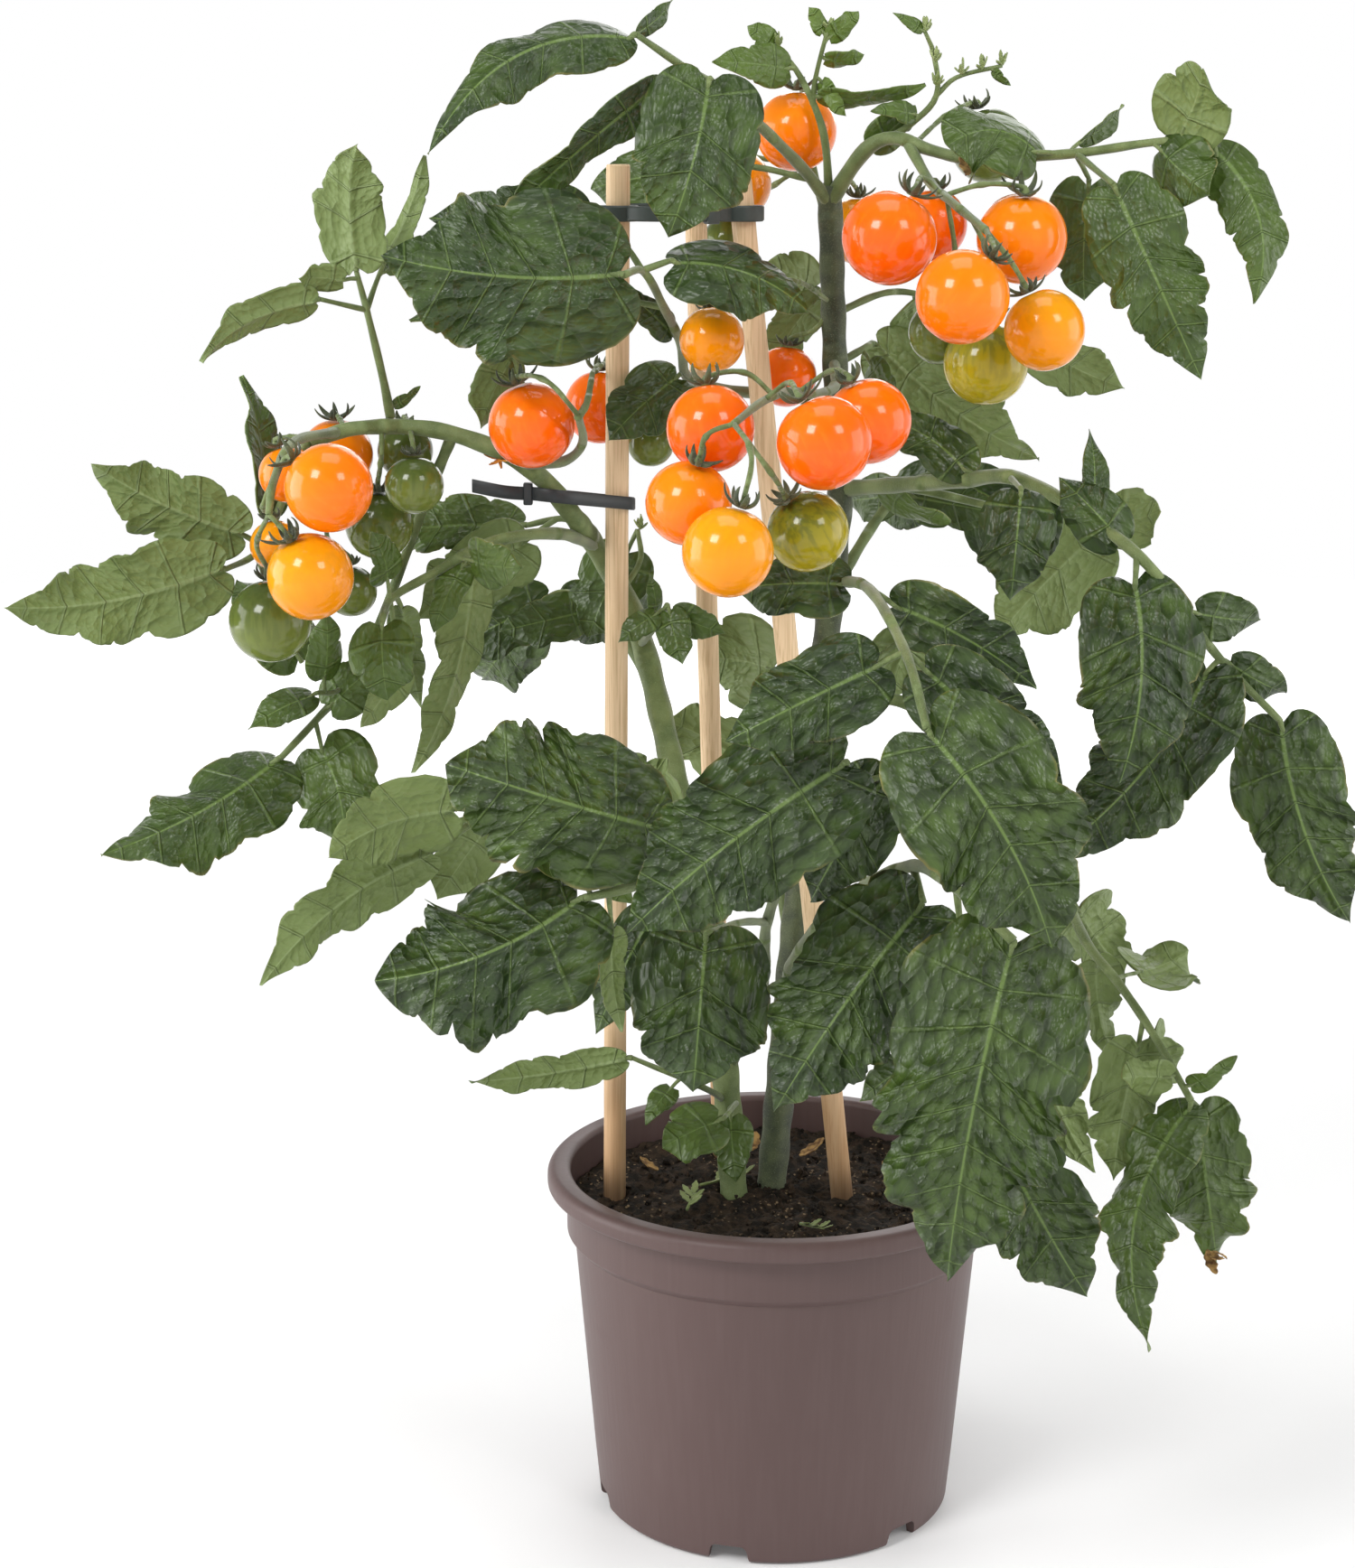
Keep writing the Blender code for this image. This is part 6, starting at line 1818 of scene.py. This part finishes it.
@dataclass(frozen=True)
class Supports:
    """The canes, the ring that holds their tops, and the stem tie.

    The eyes stand proud of the band at each end, and soft is the chamfer of both.  The tie lies
    round the left cane and the left stem, and climbs along its run by tie_slope.
    """

    foot: float = 20.0
    cane_sides: int = 28
    cane_rings: int = 40
    ring_centre: Point = (-36.0, 0.0, 478.5)
    ring_radius: float = 24.5
    ring_band: float = 2.8
    ring_height: float = 5.0
    eye: float = 7.4
    eye_proud: float = 0.2
    hole_gap: float = 0.3
    soft: float = 0.5
    clasp: Point = (4.0, 4.6, 6.6)
    clasp_angle: float = -63.0
    tie_width: float = 4.6
    tie_thickness: float = 1.3
    tie_rib: float = 0.22
    tie_height: float = 378.5
    tie_stem: tuple[float, float] = (-78.5, -31.5)
    tie_stem_radius: float = 8.6
    tie_slope: float = 0.16
    tie_steps: int = 22
    buckle: Point = (3.2, 4.0, 7.6)

    def cane_mesh(self, cane: Cane, grow: float = 0.0) -> Mesh:
        """Make one cane as a round stick with slightly rounded ends.

        Args:
            cane: the cane.
            grow: how much thicker it is made; a grown one is quite even.

        Returns:
            The mesh.
        """
        between = np.linspace(self.foot + 1, cane.top - 0.5, self.cane_rings)
        path = np.array([cane.at(height) for height in (self.foot, *between, cane.top)])
        last = len(path) - 1
        stencil = Stencils.pipe(self.cane_sides, last)
        grid = points_of(stencil)
        ring = np.rint(grid[:, 2]).astype(int)
        size = (cane.radius + grow) * np.where((ring == 0) | (ring == last), 0.93, 1.0)
        size *= 1 + (0.0 if grow else 0.008 * np.sin(ring * 1.7 + cane.top))
        places = path[ring] + grid * np.stack((size, size, 0 * size), axis=1)
        places[:, 2] += cane.bevel * grid[:, 0] * np.clip((ring - last + 3) / 3, 0, 1)
        return moulded(stencil, places)

    def build_canes(self, finish: Material) -> None:
        """Make the three canes.

        Args:
            finish: their bamboo.
        """
        for name, cane in CANES.items():
            piece = Piece(f"bamboo_{name.removeprefix('cane_')}", finish)
            piece.add(self.cane_mesh(cane))
            piece.done("bamboo", name, crease=40.0)

    def build_ring(self, finish: Material) -> None:
        """Make the ring: a band with an eye round each cane.

        Args:
            finish: its plastic.
        """
        high, soft = self.ring_height / 2, self.soft
        inner, outer = self.ring_radius - self.ring_band / 2, self.ring_radius + self.ring_band / 2
        band = turned([(inner + soft, -high), (outer - soft, -high), (outer, soft - high),
                       (outer, high - soft), (outer - soft, high), (inner + soft, high),
                       (inner, high - soft), (inner, soft - high)], 96)
        head = high + self.eye_proud
        eye = [(0.0, -head), (self.eye - soft, -head), (self.eye, soft - head),
               (self.eye, head - soft), (self.eye - soft, head), (0.0, head)]
        joined = [as_mesh(turned(eye, 40), cane.at(self.ring_centre[2])) for cane in CANES.values()]
        turn = math.radians(self.clasp_angle)
        joined.append(as_mesh(block(self.clasp, soft),
                              np.array(self.ring_centre) + self.ring_radius * towards(turn), turn))
        holes = [self.cane_mesh(cane, self.hole_gap) for cane in CANES.values()]
        piece = Piece("cane_clip", finish)
        piece.add(carved(carved(as_mesh(band, self.ring_centre), joined, "UNION"), holes, "DIFFERENCE"))
        piece.done("ring_plastic", "cane_ring", crease=35.0, weld=0.001)

    def tie_path(self) -> tuple[Array, int]:
        """Lead the strap round cane and stem.

        Returns:
            The points, and which of them the buckle sits on.
        """
        cane, sides = CANES["cane_left"].at(self.tie_height)[:2], self.tie_steps
        stem = np.array(self.tie_stem)
        run = unit(stem - cane)
        heading = math.atan2(run[1], run[0])
        cane_radius = CANES["cane_left"].radius + self.hole_gap + self.tie_thickness
        path = []
        for centre, radius, start in ((cane, cane_radius, heading + math.pi / 2),
                                      (stem, self.tie_stem_radius, heading - math.pi / 2)):
            for index in range(sides + 1):
                place = centre + radius * towards(start + math.pi * index / sides)[:2]
                path.append((*place, self.tie_height + self.tie_slope * np.dot(place - cane, run)))
        return np.array(path), sides + 1 + sides // 3

    def strap(self, path: Array, closed: bool) -> Mesh:
        """Make a flat band that stands on edge along a path, with fine cross ribs.

        Args:
            path: its points.
            closed: whether its end meets its start.

        Returns:
            The mesh.
        """
        ahead = np.roll(path, -1, axis=0) if closed else np.vstack([path[1:], path[-1:]])
        behind = np.roll(path, 1, axis=0) if closed else np.vstack([path[:1], path[:-1]])
        out = unit(np.cross(ahead - behind, (0.0, 0.0, 1.0)))
        tall, bevel = self.tie_width / 2, self.tie_width / 2 - self.soft
        bm = bmesh.new()
        rings = []
        for index, (point, aside) in enumerate(zip(path, out)):
            thick = self.tie_thickness / 2 * (1.0 + self.tie_rib * (index % 2))
            flat = thick - 0.4
            corners = [(-thick, -bevel), (-flat, -tall), (flat, -tall), (thick, -bevel),
                       (thick, bevel), (flat, tall), (-flat, tall), (-thick, bevel)]
            ring = [bm.verts.new(point + aside * wide + (0, 0, high)) for wide, high in corners]
            rings.append([bm.edges.new(pair) for pair in zip(ring, ring[1:] + ring[:1])])
            if not closed and index in (0, len(path) - 1):
                bm.faces.new(ring)
        for near, far in zip(rings, rings[1:] + (rings[:1] if closed else [])):
            bmesh.ops.bridge_loops(bm, edges=near + far)
        bmesh.ops.recalc_face_normals(bm, faces=bm.faces)
        return as_mesh(bm)

    def build_tie(self, finish: Material) -> None:
        """Make the stem tie: loop, buckle and loose tail.

        Args:
            finish: its plastic.
        """
        loop, at = self.tie_path()
        end = loop[at] + np.array((-1.0, -1.0, 0.0))
        tail = Way([end, end + (-8.0, -3.0, 1.0), end + (-19.0, -2.0, 3.0)], [1.0] * 3, 1.1)
        piece = Piece("plant_tie", finish)
        piece.add(self.strap(loop, True), self.strap(tail.points, False),
                  as_mesh(block(self.buckle, 0.6, 3), end))
        piece.done("tie_plastic", "stem_tie", crease=40.0, weld=0.001)


# -------- fallen and dried
@dataclass(frozen=True)
class Flake:
    """A small curled leaf or petal: its length, width and thickness, and its tip's bend."""

    length: float
    width: float
    thickness: float
    curl: float

    def mesh(self, place: Sequence[float], heading: float, lean: float) -> Mesh:
        """Make it.

        Args:
            place: its base.
            heading: its way over the ground in degrees.
            lean: how steeply it rises in degrees.

        Returns:
            The mesh.
        """
        turn, rise = math.radians(heading), math.radians(lean)
        ahead = towards(turn, math.tan(rise)) * math.cos(rise)
        aside = towards(turn + math.pi / 2)
        above = np.cross(ahead, aside)
        stencil = Stencils.slab(6, 12)
        across, along, level = points_of(stencil).T
        run = (along + 1) / 2
        half = self.width / 2 * np.sin(np.pi * np.clip(run * 0.92 + 0.06, 0, 1)) ** 0.7
        reach = across * half * (1 + 0.2 * np.sin(19 * run + place[0]))
        lift = self.curl * self.length * run ** 2 + 0.25 * np.abs(reach) + self.thickness * level
        shares = np.stack((self.length * run, lift, reach), axis=1)
        return moulded(stencil, np.array(place) + shares @ np.array((ahead, above, aside)))


@dataclass(frozen=True)
class Litter:
    """Small loose things: fallen sprigs and leaf scraps on the soil, and a dried flower.

    A sprig or scrap has its place, its heading in degrees and its length.  A withered tip has its
    place and its lean.
    """

    level: float = 118.6
    sprigs: tuple[tuple[float, float, float, float], ...] = (
        (-28.0, 6.0, 25.0, 17.0), (-33.0, -20.0, 80.0, 15.0), (8.0, -34.0, -40.0, 11.0))
    scraps: tuple[tuple[float, float, float, float], ...] = (
        (10.8, 36.0, 20.0, 11.0), (-8.0, 42.0, 75.0, 9.0), (46.0, 12.0, 130.0, 8.0),
        (-44.0, 20.0, 160.0, 8.0))
    flower: Point = (-97.0, -41.5, 397.0)
    petals: int = 5
    bud_leaves: int = 5
    petal: Flake = Flake(5.5, 2.2, 0.3, 0.4)
    buds: tuple[Point, ...] = (
        (52.0, -10.0, 521.0), (51.5, -9.0, 529.0), (48.0, -8.0, 539.0), (61.0, -6.0, 525.0),
        (68.0, -4.0, 526.5), (75.0, -2.0, 528.0), (-2.0, 2.0, 534.0), (15.0, -1.0, 540.0),
        (-50.0, 25.0, 364.0), (-94.0, -4.0, 430.0))
    tips: tuple[tuple[float, float, float, float], ...] = (
        (60.0, -26.0, 499.0, -75.0), (147.5, -80.5, 126.5, -60.0), (149.0, -81.0, 125.5, -20.0))
    long_tip: Flake = Flake(9.0, 4.0, 0.4, 0.6)
    short_tip: Flake = Flake(7.0, 3.0, 0.4, -0.5)

    def sprig(self, x: float, y: float, heading: float, long: float) -> list[Mesh]:
        """Make one fallen sprig: a thin stalk with leaves to both sides and at its tip.

        Args:
            x: its base's distance to the right.
            y: its base's distance to the back.
            heading: its way in degrees.
            long: its length.

        Returns:
            The meshes.
        """
        run = towards(math.radians(heading), 0.06) * long
        start = np.array((x, y, self.level))
        meshes = [Way([start, start + run / 2, start + run], [0.6, 0.5, 0.3], 1.5).pipe(7, 0)]
        leaf = Flake(long * 0.42, 2.6, 0.3, 0.2)
        for index, side in enumerate((-50, 50, -50, 50, 0)):
            meshes.append(leaf.mesh(start + run * (0.25 + 0.18 * index), heading + side, 16))
        return meshes

    def bud(self, at: Point) -> list[Mesh]:
        """Make the young leaves at one shoot's tip.

        Args:
            at: the tip.

        Returns:
            The meshes.
        """
        seeds = [scatter(*at, index) for index in range(self.bud_leaves)]
        return [Flake(3.0 + 2.5 * seed, 1.7, 0.5, 0.3).mesh(at, 72 * index + 90 * seed, 10 + 60 * seed)
                for index, seed in enumerate(seeds)]

    def build(self, green: Material, brown: Material,
              orange: Material) -> None:
        """Make the pieces.

        Args:
            green: finish of the sprigs and buds.
            brown: finish of the dry scraps.
            orange: finish of the dried flower.
        """
        fallen = Piece("fallen_sprigs", green)
        for sprig in self.sprigs:
            fallen.add(*self.sprig(*sprig))
        fallen.done("foliage")
        young = Piece("flower_buds", green)
        for at in self.buds:
            young.add(*self.bud(at))
        young.done("foliage")
        dry = Piece("dry_scraps", brown)
        for *at, lean in self.tips:
            dry.add(self.long_tip.mesh(at, -80, lean), self.short_tip.mesh(at, 30, lean + 20))
        for x, y, heading, long in self.scraps:
            dry.add(Flake(long, long * 0.55, 0.4, 0.35).mesh((x, y, self.level + 0.6), heading, 12))
        dry.done("foliage")
        flower, centre = Piece("dried_flower", orange), np.array(self.flower)
        for index in range(self.petals):
            flower.add(self.petal.mesh(self.flower, 72 * index + 20, -35 + 14 * (index % 3)))
        flower.add(Way([centre + (0, 0, 3.5), centre, centre + (0.6, -0.3, -3.0)], [0.6, 0.9, 0.3],
                       0.8).pipe(8, 0))
        flower.done("foliage")


# -------- floor and light
@dataclass(frozen=True)
class Lamp:
    """One soft square light: where it stands, its side in millimetres and its power in watts."""

    name: str
    place: Point
    size: float
    power: float


@dataclass(frozen=True)
class Studio:
    """The pale floor, soft lights and camera.

    The surroundings are white up to horizon, and dim from there to the ceiling's strength at
    overhead.  Both are heights on a ball of radius 1.
    """

    eye: Point = (-36.5, -1054.0, 510.0)
    pitch: float = 12.59
    lens: float = 68.31
    horizon: float = 0.10
    overhead: float = 0.6
    ceiling: float = 0.26
    aim: Point = (0.0, 0.0, 280.0)
    floor_radius: float = 2400.0
    floor_drop: float = 0.3
    lamps: tuple[Lamp, ...] = (
        Lamp("key", (-850.0, -1050.0, 1350.0), 520.0, 13.8),
        Lamp("fill", (800.0, -1050.0, 1300.0), 480.0, 6.5),
        Lamp("left", (-1500.0, -100.0, 500.0), 1000.0, 13.5),
        Lamp("right", (1500.0, -150.0, 500.0), 1000.0, 7.5),
        Lamp("top", (0.0, 0.0, 1900.0), 900.0, 6.5),
        Lamp("back", (300.0, 1500.0, 1100.0), 1100.0, 9.0),
    )

    def build(self, floor_finish: Material) -> None:
        """Set the stage.

        Args:
            floor_finish: finish of the floor.
        """
        bm = bmesh.new()
        bmesh.ops.create_circle(bm, segments=96, radius=self.floor_radius, cap_ends=True)
        ground = as_mesh(bm, (0.0, 0.0, -self.floor_drop))
        ground.materials.append(floor_finish)
        in_scene("floor", ground)
        for lamp in self.lamps:
            self.light(lamp)
        self.surroundings()
        self.camera()
        bpy.context.scene.view_settings.view_transform = "Standard"

    def surroundings(self) -> None:
        """Add a white horizon under a dimmer ceiling."""
        world = bpy.data.worlds.new("studio")
        world.use_nodes = True
        nodes = Nodes(world.node_tree)
        way = nodes.node("ShaderNodeTexCoord", {}, {}).outputs["Generated"]
        rise = nodes.node("ShaderNodeSeparateXYZ", {}, {0: way}).outputs["Z"]
        glow = nodes.node("ShaderNodeMapRange", {},
                          {0: rise, 1: self.horizon, 2: self.overhead, 3: 1.0, 4: self.ceiling})
        background = nodes.tree.nodes["Background"]
        nodes.feed(background.inputs["Strength"], glow.outputs[0])
        nodes.feed(background.inputs["Color"], (1.0, 1.0, 1.0))
        bpy.context.scene.world = world

    def light(self, lamp: Lamp) -> None:
        """Add one light that faces the plant.

        Args:
            lamp: its place, size and power.
        """
        data = bpy.data.lights.new(lamp.name, "AREA")
        data.size, data.energy = lamp.size * MM, lamp.power
        made = in_scene(lamp.name, data)
        made.location = Vector(lamp.place) * MM
        aim = Vector(self.aim) * MM - made.location
        made.rotation_euler = aim.to_track_quat("-Z", "Y").to_euler()

    def camera(self) -> None:
        """Add the camera."""
        data = bpy.data.cameras.new("camera")
        data.lens = self.lens
        camera = in_scene("camera", data)
        camera.location = Vector(self.eye) * MM
        camera.rotation_euler = (math.radians(90.0 - self.pitch), 0.0, 0.0)
        bpy.context.scene.camera = camera


def main() -> None:
    """Build every piece in order."""
    logging.basicConfig(level=logging.INFO, format="%(message)s")
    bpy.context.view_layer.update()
    stalk = StalkFinish().made()
    # a darker copy of the stalk finish: on the right-hand main stem its darkness is partly the stem's
    # own and partly painted shade of the crotch; the sepals take it as their own dark green
    shaded_stem_and_sepals = StalkFinish("shaded_stem_and_dark_sepals", (0.022, 0.032, 0.010), (0.068, 0.088, 0.032)).made()
    Studio().build(FloorFinish().made())
    pot, supports = Pot(), Supports()
    pot.build_pot(PotFinish().made())
    pot.build_soil(PeatFinish().made())
    supports.build_canes(BambooFinish().made())
    supports.build_ring(PlasticFinish("ring_plastic", (0.030, 0.042, 0.038), 0.42).made())
    supports.build_tie(PlasticFinish("tie_plastic", (0.018, 0.022, 0.024), 0.38).made())
    Greenery().build(LeafFinish().made(), stalk, shaded_stem_and_sepals)
    Litter().build(StalkFinish("fallen", (0.150, 0.200, 0.050), (0.280, 0.340, 0.130)).made(),
                   DryFinish("dry_leaf", (0.420, 0.260, 0.090), (0.120, 0.060, 0.025)).made(),
                   DryFinish("dry_flower", (0.760, 0.330, 0.050), (0.420, 0.130, 0.020)).made())
    Truss().build({ripeness.name.lower(): SkinFinish(ripeness).made() for ripeness in Ripeness})
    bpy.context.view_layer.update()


if __name__ == "__main__":
    main()
